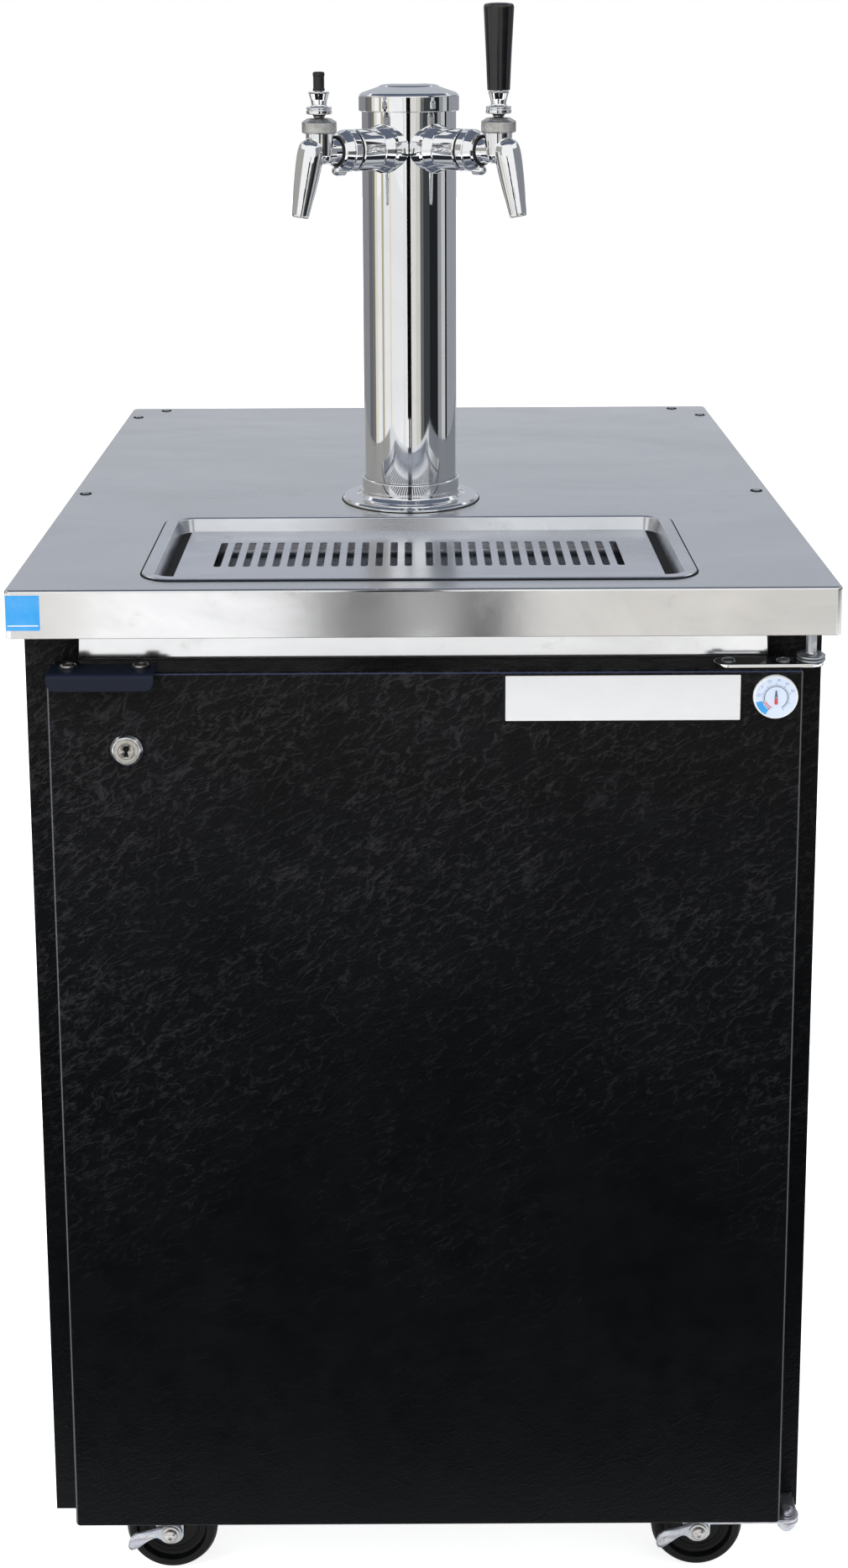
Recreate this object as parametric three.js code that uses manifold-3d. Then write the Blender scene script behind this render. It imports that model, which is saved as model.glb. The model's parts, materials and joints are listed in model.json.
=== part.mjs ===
// A single-keg draft beer cooler: an insulated cabinet on casters, a stainless counter with a drip tray,
// and a polished column with two taps. Millimetres, +Z up, the door faces -Y, and the origin is on the
// floor under the middle of the counter.
import * as THREE from 'three';
import { mergeVertices } from 'three/addons/utils/BufferGeometryUtils.js';
import Module from 'manifold-3d';

const wasm = await Module();
wasm.setup();

// Driving dimensions
const gap = 0.3;
const overrun = 6;
const sheet = 1.2;
const plate = 3;
const smallRadius = 7;
const smallSides = 12;
const roundSides = 16;
const largeSides = 24;
const wheelSides = 20;
const cornerSteps = 4;

const counter = {
  halfWidth: 304.8, halfDepth: 362, top: 896, skirt: 36.5, cornerRadius: 4, edgeRadius: 1.6, coreShort: 4,
};
const cabinet = {
  sideSetback: 2.8, frontSetback: 59.6, backSetback: 4, bottom: 105, wall: 41, sill: 41,
  header: 45, foamBack: 40,
};
cabinet.halfWidth = counter.halfWidth - cabinet.sideSetback;
cabinet.front = cabinet.frontSetback - counter.halfDepth;
cabinet.back = counter.halfDepth - cabinet.backSetback;
const machine = { depth: 187, height: 275, grilleInset: 54, grilleLap: 8, grilleFoot: 15 };
machine.front = cabinet.back - machine.depth;
machine.top = cabinet.bottom + machine.height;
const liner = { thickness: 1.2, stepGap: 41, stepFrontGap: 41 };
const door = {
  sideInset: 21.8, centreX: 0.9, thickness: 30, seal: 10.6, lift: 15.7, headGap: 35.6,
  cornerRadius: 3, edgeRadius: 1.5, gasketEdge: 2, gasketWidth: 17, linerThickness: 2,
};
door.halfWidth = cabinet.halfWidth - door.sideInset;
door.front = cabinet.front - door.seal - door.thickness;
door.bottom = cabinet.bottom + door.lift;
const hinge = {
  outset: 7.4, inset: 13, pinRadius: 4, eyeRadius: 9.5, leafLength: 72, leafHalfDepth: 10,
  washerRadius: 10.7,
};
hinge.x = door.centreX + door.halfWidth + hinge.outset;
hinge.y = door.front + hinge.inset;
const tower = {
  x: -9, trayGap: 67.6, radius: 39.5, wall: 1.5, height: 344, capRadius: 42, capSkirt: 12, capDome: 9.5,
  flangeRadius: 58.5, flangeThickness: 3.5, collarRadius: 42, collarHeight: 20, passageRadius: 30,
};
const shank = { drop: 42, turn: 51, seat: 35.5, radius: 9, bore: 4, inside: 16, outside: 36 };
shank.height = tower.height - shank.drop;
const tap = { reach: 63.2, bodyRadius: 10.7, neckRadius: 11, boreRadius: 5.6, pivot: 22, ballRadius: 7.4 };
const caster = {
  sideInset: 78.6, frontInset: 75.4, rearInset: 78, wheelRadius: 38.5, wheelHalfWidth: 16, lead: 7, axle: 4,
};
caster.x = cabinet.halfWidth - caster.sideInset;
caster.frontY = cabinet.front + caster.frontInset;
caster.rearY = cabinet.back - caster.rearInset;
const tray = { x: -2.7, inset: 24, length: 202.4, halfWidth: 207.2, radius: 24, rim: 9, depth: 28 };
tray.front = tray.inset - counter.halfDepth;
tray.back = tray.front + tray.length;
tower.y = tray.back + tower.trayGap;

const cabinetTop = counter.top - counter.skirt + counter.coreShort - gap;
door.top = cabinetTop - door.headGap;
const ceiling = cabinetTop - cabinet.header;
const floorTop = cabinet.bottom + cabinet.sill;
const mouthHalf = cabinet.halfWidth - cabinet.wall + gap;
const linerHalf = mouthHalf - gap;
const linerBack = cabinet.back - cabinet.foamBack;
const stepTop = machine.top + liner.stepGap;
const stepFront = machine.front - liner.stepFrontGap;

// Finishes
const finish = {
  vinyl: { color: 0x0c0d0f, roughness: 0.55, metalness: 0 },
  stainless: { color: 0xb9bbbc, roughness: 0.35, metalness: 1 },
  chrome: { color: 0xe4e6e8, roughness: 0.06, metalness: 1 },
  steel: { color: 0xa7abb0, roughness: 0.4, metalness: 1 },
  blackMetal: { color: 0x15161a, roughness: 0.5, metalness: 0.4 },
  blackPlastic: { color: 0x0a0a0b, roughness: 0.25, metalness: 0 },
  rubber: { color: 0x111112, roughness: 0.8, metalness: 0 },
  foam: { color: 0xe0cf96, roughness: 0.9, metalness: 0 },
  whitePlastic: { color: 0xe9edf2, roughness: 0.35, metalness: 0 },
  board: { color: 0x9b7a4f, roughness: 0.8, metalness: 0 },
  aluminium: { color: 0xc4c8cc, roughness: 0.45, metalness: 1 },
};

// Basic shapes
function block(x, y, z) {
  const [x0, x1] = x;
  const [y0, y1] = y;
  const [z0, z1] = z;
  const box = new THREE.BoxGeometry(x1 - x0, y1 - y0, z1 - z0);
  return box.translate((x0 + x1) / 2, (y0 + y1) / 2, (z0 + z1) / 2);
}

function turned(points, sides = roundSides) {
  const outline = points.map(([radius, height]) => new THREE.Vector2(radius, height));
  return new THREE.LatheGeometry(outline, sides).rotateX(Math.PI / 2);
}

function ring(points, sides = roundSides) {
  return turned([...points, points[0]], sides);
}

function rod(radius, z0, z1, sides = radius < smallRadius ? smallSides : roundSides) {
  return turned([[0, z0], [radius, z0], [radius, z1], [0, z1]], sides);
}

function alongX(geometry) {
  return geometry.rotateY(Math.PI / 2);
}

function alongY(geometry) {
  return geometry.rotateX(Math.PI / 2);
}

function extruded(outline, depth, holes = []) {
  const shape = new THREE.Shape(outline.map(([x, y]) => new THREE.Vector2(x, y)));
  for (const hole of holes) {
    shape.holes.push(new THREE.Path(hole.map(([x, y]) => new THREE.Vector2(x, y))));
  }
  return new THREE.ExtrudeGeometry(shape, { depth, bevelEnabled: false });
}

function arc(x, y, radius, from, to, steps = cornerSteps) {
  const points = [];
  for (let i = 0; i <= steps; i += 1) {
    const angle = THREE.MathUtils.degToRad(from + ((to - from) * i) / steps);
    points.push([x + radius * Math.cos(angle), y + radius * Math.sin(angle)]);
  }
  return points;
}

function roundedRectangle(halfX, halfY, radius, steps = cornerSteps) {
  return [
    ...arc(halfX - radius, halfY - radius, radius, 0, 90, steps),
    ...arc(radius - halfX, halfY - radius, radius, 90, 180, steps),
    ...arc(radius - halfX, radius - halfY, radius, 180, 270, steps),
    ...arc(halfX - radius, radius - halfY, radius, 270, 360, steps),
  ];
}

// A rounded rectangle swept down a list of [inset, height] steps, with flat ends or closed on itself
function stepped(profile, halfX, halfY, radius, closed = false) {
  const least = radius / roundSides;
  const loops = profile.map(([inset, height]) => {
    const corner = Math.max(radius - inset, least);
    return roundedRectangle(halfX - inset, halfY - inset, corner).map(([x, y]) => [x, y, height]);
  });
  const count = loops[0].length;
  const vertices = loops.flat();
  const faces = [];
  const last = closed ? loops.length : loops.length - 1;
  for (let i = 0; i < last; i += 1) {
    const upper = i * count;
    const lower = ((i + 1) % loops.length) * count;
    for (let j = 0; j < count; j += 1) {
      const k = (j + 1) % count;
      faces.push(upper + j, lower + j, lower + k, upper + j, lower + k, upper + k);
    }
  }
  if (!closed) {
    const top = vertices.length;
    const bottom = top + 1;
    const foot = (loops.length - 1) * count;
    vertices.push([0, 0, profile[0][1]], [0, 0, profile[profile.length - 1][1]]);
    for (let j = 0; j < count; j += 1) {
      const k = (j + 1) % count;
      faces.push(top, j, k, bottom, foot + k, foot + j);
    }
  }
  const geometry = new THREE.BufferGeometry();
  geometry.setAttribute('position', new THREE.Float32BufferAttribute(vertices.flat(), 3));
  geometry.setIndex(faces);
  return geometry;
}

// Closed meshes for cutting and joining
function bare(geometry) {
  const copy = geometry.clone();
  copy.deleteAttribute('normal');
  copy.deleteAttribute('uv');
  return mergeVertices(copy);
}

function signedVolume(positions, faces) {
  const corner = (n) => new THREE.Vector3().fromArray(positions, faces[n] * 3);
  let sum = 0;
  for (let i = 0; i < faces.length; i += 3) {
    sum += corner(i).dot(corner(i + 1).cross(corner(i + 2)));
  }
  return sum;
}

function solid(geometry) {
  const clean = bare(geometry);
  const positions = Float32Array.from(clean.attributes.position.array);
  const faces = [];
  const index = clean.index.array;
  for (let i = 0; i < index.length; i += 3) {
    const [a, b, c] = [index[i], index[i + 1], index[i + 2]];
    if (a !== b && b !== c && c !== a) faces.push(a, b, c);
  }
  if (signedVolume(positions, faces) < 0) faces.reverse();
  return new wasm.Manifold(
    new wasm.Mesh({ numProp: 3, vertProperties: positions, triVerts: Uint32Array.from(faces) }),
  );
}

function surface(body) {
  const mesh = body.getMesh();
  const geometry = new THREE.BufferGeometry();
  geometry.setAttribute('position', new THREE.BufferAttribute(mesh.vertProperties, 3));
  geometry.setIndex(new THREE.BufferAttribute(mesh.triVerts, 1));
  return geometry;
}

function join(first, ...others) {
  return surface(others.reduce((sum, other) => sum.add(solid(other)), solid(first)));
}

function cut(first, ...tools) {
  return surface(tools.reduce((rest, tool) => rest.subtract(solid(tool)), solid(first)));
}

function node(name, geometry, look) {
  const shape = geometry.attributes.normal ? surface(solid(geometry)) : geometry;
  shape.computeVertexNormals();
  const mesh = new THREE.Mesh(shape, new THREE.MeshStandardMaterial(finish[look]));
  mesh.name = name;
  return mesh;
}

function placed(x, y, z, ...pieces) {
  const group = new THREE.Group();
  group.position.set(x, y, z);
  group.add(...pieces);
  return group;
}

// Faces an XY outline towards the door's side, its local Z becoming -Y
function facingFront(geometry) {
  return geometry.rotateX(Math.PI / 2);
}

// Turns a side view drawn as Y and Z into a shape that runs along X
function acrossX(outline, x0, x1) {
  const turn = new THREE.Matrix4().makeBasis(
    new THREE.Vector3(0, 1, 0),
    new THREE.Vector3(0, 0, 1),
    new THREE.Vector3(1, 0, 0),
  );
  return extruded(outline, x1 - x0).applyMatrix4(turn).translate(x0, 0, 0);
}

// Cabinet shells
function towerPassage(z0, z1) {
  return rod(tower.passageRadius, z0, z1).translate(tower.x, tower.y, 0);
}

function outerCasing() {
  const half = cabinet.halfWidth;
  const grilleHalf = half - machine.grilleInset;
  const grilleFoot = cabinet.bottom + machine.grilleFoot;
  return cut(
    block([-half, half], [cabinet.front, cabinet.back], [cabinet.bottom, cabinetTop]),
    block(
      [sheet - half, half - sheet],
      [cabinet.front + sheet, cabinet.back - sheet],
      [cabinet.bottom + sheet, cabinetTop - sheet],
    ),
    block(
      [-mouthHalf, mouthHalf],
      [cabinet.front - overrun, cabinet.front + overrun],
      [floorTop, cabinetTop - sheet - gap],
    ),
    block(
      [-grilleHalf, grilleHalf],
      [cabinet.back - overrun, cabinet.back + overrun],
      [grilleFoot, machine.top - machine.grilleFoot],
    ),
    towerPassage(cabinetTop - overrun, cabinetTop + overrun),
  );
}

function linerOutline(grow, front) {
  const low = floorTop + gap - grow;
  const high = ceiling - gap + grow;
  return [
    [front, low],
    [stepFront + grow, low],
    [stepFront + grow, stepTop - grow],
    [linerBack + grow, stepTop - grow],
    [linerBack + grow, high],
    [front, high],
  ];
}

function innerLiner() {
  const half = linerHalf;
  return cut(
    acrossX(linerOutline(0, cabinet.front + gap), -half, half),

    acrossX(
      linerOutline(-liner.thickness, cabinet.front - overrun),
      liner.thickness - half,
      half - liner.thickness,
    ),
    towerPassage(ceiling - overrun, ceiling + overrun),
  );
}

const rail = { reach: 18 };

function insulation() {
  const half = cabinet.halfWidth - sheet - gap;
  const wide = cabinet.halfWidth + overrun;
  return cut(
    block(
      [-half, half],
      [cabinet.front + sheet + gap, cabinet.back - sheet - gap],
      [cabinet.bottom + sheet + gap, cabinetTop - sheet - gap],
    ),
    acrossX(linerOutline(gap, cabinet.front - overrun), -linerHalf - gap, linerHalf + gap),
    block([-wide, wide], [machine.front, cabinet.back + overrun], [0, machine.top]),
    block(
      [-mouthHalf, mouthHalf],
      [cabinet.front - overrun, cabinet.front + rail.reach + gap],
      [ceiling - overrun, ceiling + sheet + gap],
    ),
    towerPassage(ceiling - overrun, cabinetTop + overrun),
  );
}

function headerRail() {
  const half = mouthHalf - gap;
  const top = cabinetTop - sheet - gap - gap;
  return join(
    block([-half, half], [cabinet.front, cabinet.front + sheet], [ceiling, top]),
    block([-half, half], [cabinet.front, cabinet.front + rail.reach], [ceiling, ceiling + sheet]),
  );
}

// Rear grille with two columns of louvre slots
const louvre = { columns: 2, rows: 9, margin: 45, between: 42, height: 7, pitch: 24 };

function rearGrille() {
  const half = cabinet.halfWidth - machine.grilleInset + machine.grilleLap;
  const low = cabinet.bottom + machine.grilleFoot - machine.grilleLap;
  const high = machine.top - machine.grilleFoot + machine.grilleLap;
  const middle = (low + high) / 2;
  const face = cabinet.back + gap;
  const span = half * 2 - louvre.margin * 2 + louvre.between;
  const length = span / louvre.columns - louvre.between;
  const slots = [];
  for (let column = 0; column < louvre.columns; column += 1) {
    const x = (column - (louvre.columns - 1) / 2) * (length + louvre.between);
    for (let row = 0; row < louvre.rows; row += 1) {
      const z = middle + (row - (louvre.rows - 1) / 2) * louvre.pitch;
      slots.push(block(
        [x - length / 2, x + length / 2],
        [face - overrun, face + overrun],
        [z - louvre.height / 2, z + louvre.height / 2],
      ));
    }
  }
  return cut(block([-half, half], [face, face + sheet], [low, high]), ...slots);
}

// Refrigeration
const machineFloor = cabinet.bottom + sheet + gap;
const pump = {
  x: -150, frontGap: 21, backGap: 22, height: 156, baseOutset: 20, baseInset: 10, footHeight: 9,
  boxHalf: 22, boxHeight: 56, boxZ: 60, boxReach: 16,
};
pump.radius = (machine.depth - pump.frontGap - pump.backGap) / 2;
pump.y = machine.front + pump.frontGap + pump.radius;
pump.baseHalfX = pump.radius + pump.baseOutset;
pump.baseHalfY = pump.radius - pump.baseInset;

function compressor() {
  const r = pump.radius;
  const h = pump.height;
  const foot = pump.footHeight;
  const shellPoints = [[0, 0], [r * 0.84, 0], [r * 0.97, h * 0.08], [r, h * 0.38], [r, h * 0.6]];
  const domePoints = [[r * 0.92, h * 0.78], [r * 0.7, h * 0.92], [r * 0.36, h * 0.985], [0, h]];
  const shell = turned([...shellPoints, ...domePoints]).translate(0, 0, foot - sheet);
  const half = pump.boxHalf;
  return join(
    shell,
    block([-pump.baseHalfX, pump.baseHalfX], [-pump.baseHalfY, pump.baseHalfY], [0, foot]),
    block([r - pump.boxReach, r + pump.boxReach], [-half, half], [pump.boxZ, pump.boxZ + pump.boxHeight]),
  ).translate(pump.x, pump.y, machineFloor);
}

const coil = {
  x: 112, thickness: 34, frontGap: 9, backGap: 10, height: 214, fins: 9, slotShare: 0.45, skinShare: 0.18,
};
coil.halfY = (machine.depth - coil.frontGap - coil.backGap) / 2;
coil.y = machine.front + coil.frontGap + coil.halfY;

function finned(length, depth, height, slots) {
  const pitch = length / slots;
  const skin = depth * coil.skinShare;
  const tools = [];
  for (let i = 0; i < slots; i += 1) {
    const middle = (i + 0.5) * pitch - length / 2;
    const half = (pitch * coil.slotShare) / 2;
    tools.push(block([middle - half, middle + half], [-depth, depth / 2 - skin], [skin, height - skin]));
  }
  return cut(block([-length / 2, length / 2], [-depth / 2, depth / 2], [0, height]), ...tools);
}

function condenserCoil() {
  const body = finned(coil.halfY * 2, coil.thickness, coil.height, coil.fins);
  return body.rotateZ(-Math.PI / 2).translate(coil.x, coil.y, machineFloor);
}

const fan = {
  frontGap: 13, backGap: 14, hubRadius: 19, hubLength: 20, blades: 5, chord: 40, bladeThickness: 2.4,
  pitch: 32, x: 60, z: 112, shaft: 4, boreDepth: 15, clearance: 4, motorRadius: 27, motorLength: 44,
  standHalf: 24, standThickness: 4, standInset: 8,
};
fan.radius = (machine.depth - fan.frontGap - fan.backGap) / 2;
fan.y = machine.front + fan.frontGap + fan.radius;

function fanWheel(radius, hubRadius, hubLength, chord) {
  const blades = [];
  for (let i = 0; i < fan.blades; i += 1) {
    const blade = block(
      [hubRadius / 2, radius],
      [-chord / 2, chord / 2],
      [-fan.bladeThickness / 2, fan.bladeThickness / 2],
    );
    blade.rotateX(THREE.MathUtils.degToRad(fan.pitch));
    blades.push(blade.rotateZ((i * 2 * Math.PI) / fan.blades));
  }
  const hub = rod(hubRadius, -hubLength / 2, hubLength / 2);
  const bore = rod(fan.shaft + gap, -hubLength, fan.boreDepth - hubLength / 2);
  return cut(join(hub, ...blades), bore);
}

function condenserFan() {
  const wheel = alongX(fanWheel(fan.radius, fan.hubRadius, fan.hubLength, fan.chord));
  return wheel.translate(fan.x, fan.y, machineFloor + fan.z);
}

function condenserMotor() {
  const front = fan.x - fan.hubLength / 2 - fan.clearance;
  const back = front - fan.motorLength;
  const tip = front + fan.clearance + fan.boreDepth - gap;
  const axisZ = machineFloor + fan.z;
  const stand = back + fan.standInset;
  const y = [fan.y - fan.standHalf, fan.y + fan.standHalf];
  return join(
    alongX(rod(fan.motorRadius, back, front)).translate(0, fan.y, axisZ),
    alongX(rod(fan.shaft, back, tip)).translate(0, fan.y, axisZ),
    block([stand, stand + fan.standThickness], y, [machineFloor, axisZ]),
    block([stand, front], y, [machineFloor, machineFloor + fan.standThickness]),
  );
}

const chill = {
  halfWidth: 120, depth: 52, drop: 228.2, height: 160, slots: 9, x: -40, fanShare: 0.7, motor: 18,
};
chill.bottom = ceiling - chill.drop;
const chillFront = linerBack - liner.thickness - gap - chill.depth;

function evaporatorCoil() {
  const z = chill.bottom + chill.height / 2;
  const coilBody = finned(chill.halfWidth * 2, chill.depth, chill.height, chill.slots);
  coilBody.rotateZ(Math.PI).translate(0, chillFront + chill.depth / 2, chill.bottom);
  const face = block(
    [-chill.halfWidth, chill.halfWidth],
    [chillFront - plate, chillFront + plate],
    [chill.bottom, chill.bottom + chill.height],
  );
  const motor = alongY(rod(chill.motor, 0, chill.motor)).translate(0, chillFront, z);
  const tip = chill.motor + fan.clearance + fan.boreDepth - gap;
  const shaft = alongY(rod(fan.shaft, 0, tip)).translate(0, chillFront, z);
  return join(coilBody, face, motor, shaft).translate(chill.x, 0, 0);
}

function evaporatorFan() {
  const share = chill.fanShare;
  const hub = fan.hubRadius * share;
  const wheel = alongY(fanWheel(fan.radius * share, hub, fan.hubLength, fan.chord * share));
  const y = chillFront - chill.motor - fan.clearance - fan.hubLength / 2;
  return wheel.translate(chill.x, y, chill.bottom + chill.height / 2);
}

const control = {
  x: 170, width: 66, depth: 34, drop: 178.2, height: 96, knobRadius: 17, knobDepth: 14, stem: 3,
};
control.bottom = ceiling - control.drop;
const controlFront = linerBack - liner.thickness - gap - control.depth;

function thermostatBox() {
  const box = block(
    [control.x - control.width / 2, control.x + control.width / 2],
    [controlFront, controlFront + control.depth],
    [control.bottom, control.bottom + control.height],
  );
  const stem = alongY(rod(control.stem, -overrun, control.knobDepth - overrun));
  return join(box, stem.translate(control.x, controlFront, control.bottom + control.height / 2));
}

function thermostatKnob() {
  const depth = control.knobDepth;
  const r = control.knobRadius;
  const body = ring([
    [control.stem + gap, gap], [r, gap], [r, depth * 0.5], [r * 0.8, depth], [control.stem + gap, depth],
  ]);
  const grip = block([-sheet, sheet], [control.stem + sheet, r], [depth * 0.5, depth + sheet]);
  return alongY(join(body, grip)).translate(control.x, controlFront, control.bottom + control.height / 2);
}

// Counter and drip tray
const trayHalfDepth = (tray.back - tray.front) / 2;
const trayMiddle = (tray.back + tray.front) / 2;
const trayWell = tray.rim - sheet - gap;

function trayOpening(z0, z1) {
  const profile = [[trayWell, z1], [trayWell, z0]];
  return stepped(profile, tray.halfWidth, trayHalfDepth, tray.radius).translate(tray.x, trayMiddle, 0);
}

function counterSkin() {
  const edge = counter.edgeRadius;
  const low = counter.top - counter.skirt;
  const profile = [
    [edge, counter.top], [edge * 0.3, counter.top - edge * 0.3], [0, counter.top - edge], [0, low],
    [sheet, low], [sheet, counter.top - sheet],
  ];
  return cut(
    stepped(profile, counter.halfWidth, counter.halfDepth, counter.cornerRadius),
    trayOpening(low, counter.top + overrun),
    towerPassage(low, counter.top + overrun),
  );
}

function counterCore() {
  const inset = sheet + gap;
  const profile = [[inset, counter.top - sheet - gap], [inset, cabinetTop + gap]];
  return cut(
    stepped(profile, counter.halfWidth, counter.halfDepth, counter.cornerRadius),
    trayOpening(cabinetTop - overrun, counter.top + overrun),
    towerPassage(cabinetTop - overrun, counter.top + overrun),
  );
}

const grille = {
  drop: 9.5, slots: 14, slotLength: 76, slotWidth: 5.6, pitch: 11.4, firstOffset: 8.3, ledge: 9,
  slotShift: 13.5,
};
const drain = { radius: 9, bore: 6.5, length: 4, insetX: 60 };

function dripPan() {
  const top = counter.top + gap + sheet;
  const ledge = counter.top - grille.drop - sheet - gap;
  const floor = counter.top - tray.depth;
  const wall = tray.rim;
  const deep = wall + grille.ledge;
  const profile = [
    [0, top - sheet], [sheet, top], [wall, top], [wall + sheet, top - sheet],
    [wall + plate, ledge], [deep, ledge], [deep + sheet, floor + sheet],
  ];
  const underside = [
    [deep, floor], [deep - sheet, ledge - sheet], [wall + gap, ledge - sheet],
    [wall, counter.top + gap], [0, counter.top + gap],
  ];
  return drained(profile, underside, floor);
}

// The bowl's inner and outer sides closed into one sheet, with a drain spigot below it
function drained(inside, outside, floor) {
  const halfY = trayHalfDepth;
  const outer = [...outside].reverse();
  const body = stepped([[0, counter.top + gap + sheet], ...outer], tray.halfWidth, halfY, tray.radius);
  const bowl = [[inside[2][0], counter.top + overrun], ...inside.slice(2)];
  const hollow = stepped(bowl, tray.halfWidth, halfY, tray.radius);
  const spigot = rod(drain.radius, floor - drain.length, floor + sheet).translate(drain.insetX, 0, 0);
  const bore = rod(drain.bore, floor - overrun, floor + overrun).translate(drain.insetX, 0, 0);
  return cut(join(cut(body, hollow), spigot), bore).translate(tray.x, trayMiddle, 0);
}

function dripGrille() {
  const inset = tray.rim + plate + gap;
  const outline = roundedRectangle(tray.halfWidth - inset, trayHalfDepth - inset, tray.radius - inset);
  const holes = [];
  for (const side of [-1, 1]) {
    for (let i = 0; i < grille.slots; i += 1) {
      const x = side * (grille.firstOffset + i * grille.pitch);
      const slot = roundedRectangle(grille.slotWidth / 2, grille.slotLength / 2, grille.slotWidth / 2, 2);
      holes.push(slot.map(([u, v]) => [u + x, v + grille.slotShift]).reverse());
    }
  }
  const top = counter.top - grille.drop;
  return extruded(outline, sheet, holes).translate(tray.x, trayMiddle, top - sheet);
}

// Column
function towerFlange() {
  const r = tower.collarRadius;
  const t = tower.flangeThickness;
  const groove = tower.collarHeight / 2;
  const inner = tower.radius + gap;
  return ring([
    [inner, 0], [tower.flangeRadius, 0], [tower.flangeRadius, t * 0.5], [tower.flangeRadius - t * 0.6, t],
    [r + t * 0.6, t], [r, t * 1.5], [r, groove - sheet / 2], [r - sheet / 2, groove],
    [r, groove + sheet / 2],
    [r, tower.collarHeight - sheet / 2], [r - sheet / 2, tower.collarHeight], [inner, tower.collarHeight],
  ], largeSides).translate(0, 0, gap);
}

function shankLine(side, radius, from, to) {
  return alongX(rod(radius, from, to)).applyMatrix4(tapFrame(side));
}

function towerColumn() {
  const r = tower.radius;
  const inner = r - tower.wall;
  const tube = ring([[inner, gap], [r, gap], [r, tower.height], [inner, tower.height]], largeSides);
  const holes = [-1, 1].map((side) => {
    return shankLine(side, shank.radius + gap, -tap.reach - overrun, -tap.reach + r);
  });
  return cut(tube, ...holes);
}

function towerCap() {
  const r = tower.capRadius;
  const low = tower.height - tower.capSkirt;
  const rim = tower.height + sheet;
  const inner = tower.radius + gap;
  return turned([
    [0, tower.height + gap], [inner, tower.height + gap], [inner, low], [r, low], [r, rim - sheet],
    [r - sheet / 2, rim], [r * 0.82, rim + tower.capDome * 0.55], [r * 0.66, rim + tower.capDome * 0.86],
    [r * 0.52, rim + tower.capDome], [0, rim + tower.capDome],
  ], largeSides);
}

// Taps: each is drawn along its own X, which points out of the column, with its lever's axis at the origin
function tapFrame(side) {
  const turn = THREE.MathUtils.degToRad(shank.turn);
  const seat = THREE.MathUtils.degToRad(shank.seat);
  const x = side * (tower.radius * Math.sin(seat) + tap.reach * Math.sin(turn));
  const y = -tower.radius * Math.cos(seat) - tap.reach * Math.cos(turn);
  const heading = side > 0 ? turn - Math.PI / 2 : -turn - Math.PI / 2;
  return new THREE.Matrix4().makeRotationZ(heading).setPosition(x, y, shank.height);
}

const saddle = { rootRadius: 20.4, radius: 17.1, flareEnd: 7.5, seam: 0.5, end: 29.1, back: 30 };

function tapSaddle(side) {
  const at = (distance) => distance - tap.reach;
  const inner = shank.radius + gap;
  const r = saddle.radius;
  const seam = saddle.seam;
  const tube = alongX(ring([
    [inner, at(-saddle.back)], [saddle.rootRadius, at(-saddle.back)], [saddle.rootRadius, at(0)],
    [r + seam, at(saddle.flareEnd)], [r - seam, at(saddle.flareEnd + seam)],
    [r, at(saddle.flareEnd + seam * 2)],
    [r, at(saddle.end - seam)], [r - seam, at(saddle.end)], [inner, at(saddle.end)],
  ], largeSides));
  const column = rod(tower.radius + gap, -tower.height, tower.height, largeSides);
  return cut(tube, column.applyMatrix4(tapFrame(side).invert()));
}

const tail = { radius: 4.6, bore: 3, drop: 36, inset: 5 };

function tapShank() {
  const at = (distance) => distance - tap.reach;
  const bend = at(tail.inset - shank.inside);
  return cut(
    join(
      alongX(rod(shank.radius, at(-shank.inside), at(shank.outside))),
      rod(tail.radius, -tail.drop, 0).translate(bend, 0, 0),
    ),
    alongX(rod(shank.bore, bend, at(shank.outside) + overrun)),
    rod(tail.bore, -tail.drop - overrun, 0).translate(bend, 0, 0),
  );
}

const nut = {
  start: 31, seam: 38.4, end: 46.5, radius: 17.1, endRadius: 13.8, groove: 0.5, lugRadius: 4.2,
};
nut.lugDrop = tap.bodyRadius + nut.lugRadius + gap * 3;
nut.lugStart = nut.seam + plate;
nut.lugEnd = nut.end + plate;

function couplingNut() {
  const at = (distance) => distance - tap.reach;
  const r = nut.radius;
  const groove = nut.groove;
  const body = alongX(ring([
    [shank.radius + gap, at(nut.start)], [r - groove, at(nut.start)], [r, at(nut.start + groove)],
    [r, at(nut.seam - groove)], [r - groove, at(nut.seam)], [r - groove / 2, at(nut.seam + groove)],
    [nut.endRadius, at(nut.end)], [tap.bodyRadius + gap, at(nut.end)],
    [tap.bodyRadius + gap, at(shank.outside)], [shank.radius + gap, at(shank.outside)],
  ], largeSides));
  const lug = alongX(rod(nut.lugRadius, at(nut.lugStart), at(nut.lugEnd)));
  return join(body, lug.translate(0, 0, -nut.lugDrop));
}

const spout = { start: 8.6, lift: 1, topRadius: 9.8, tipX: 20, tipDrop: 51.5, tipRadius: 6.8, bore: 4.8 };
const neck = { top: 16.2, bore: 8.9 };

function spoutLine(points) {
  const lean = Math.atan2(spout.tipX - spout.start, spout.tipDrop);
  return turned(points).rotateY(Math.PI - lean).translate(spout.start, 0, 0);
}

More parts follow.
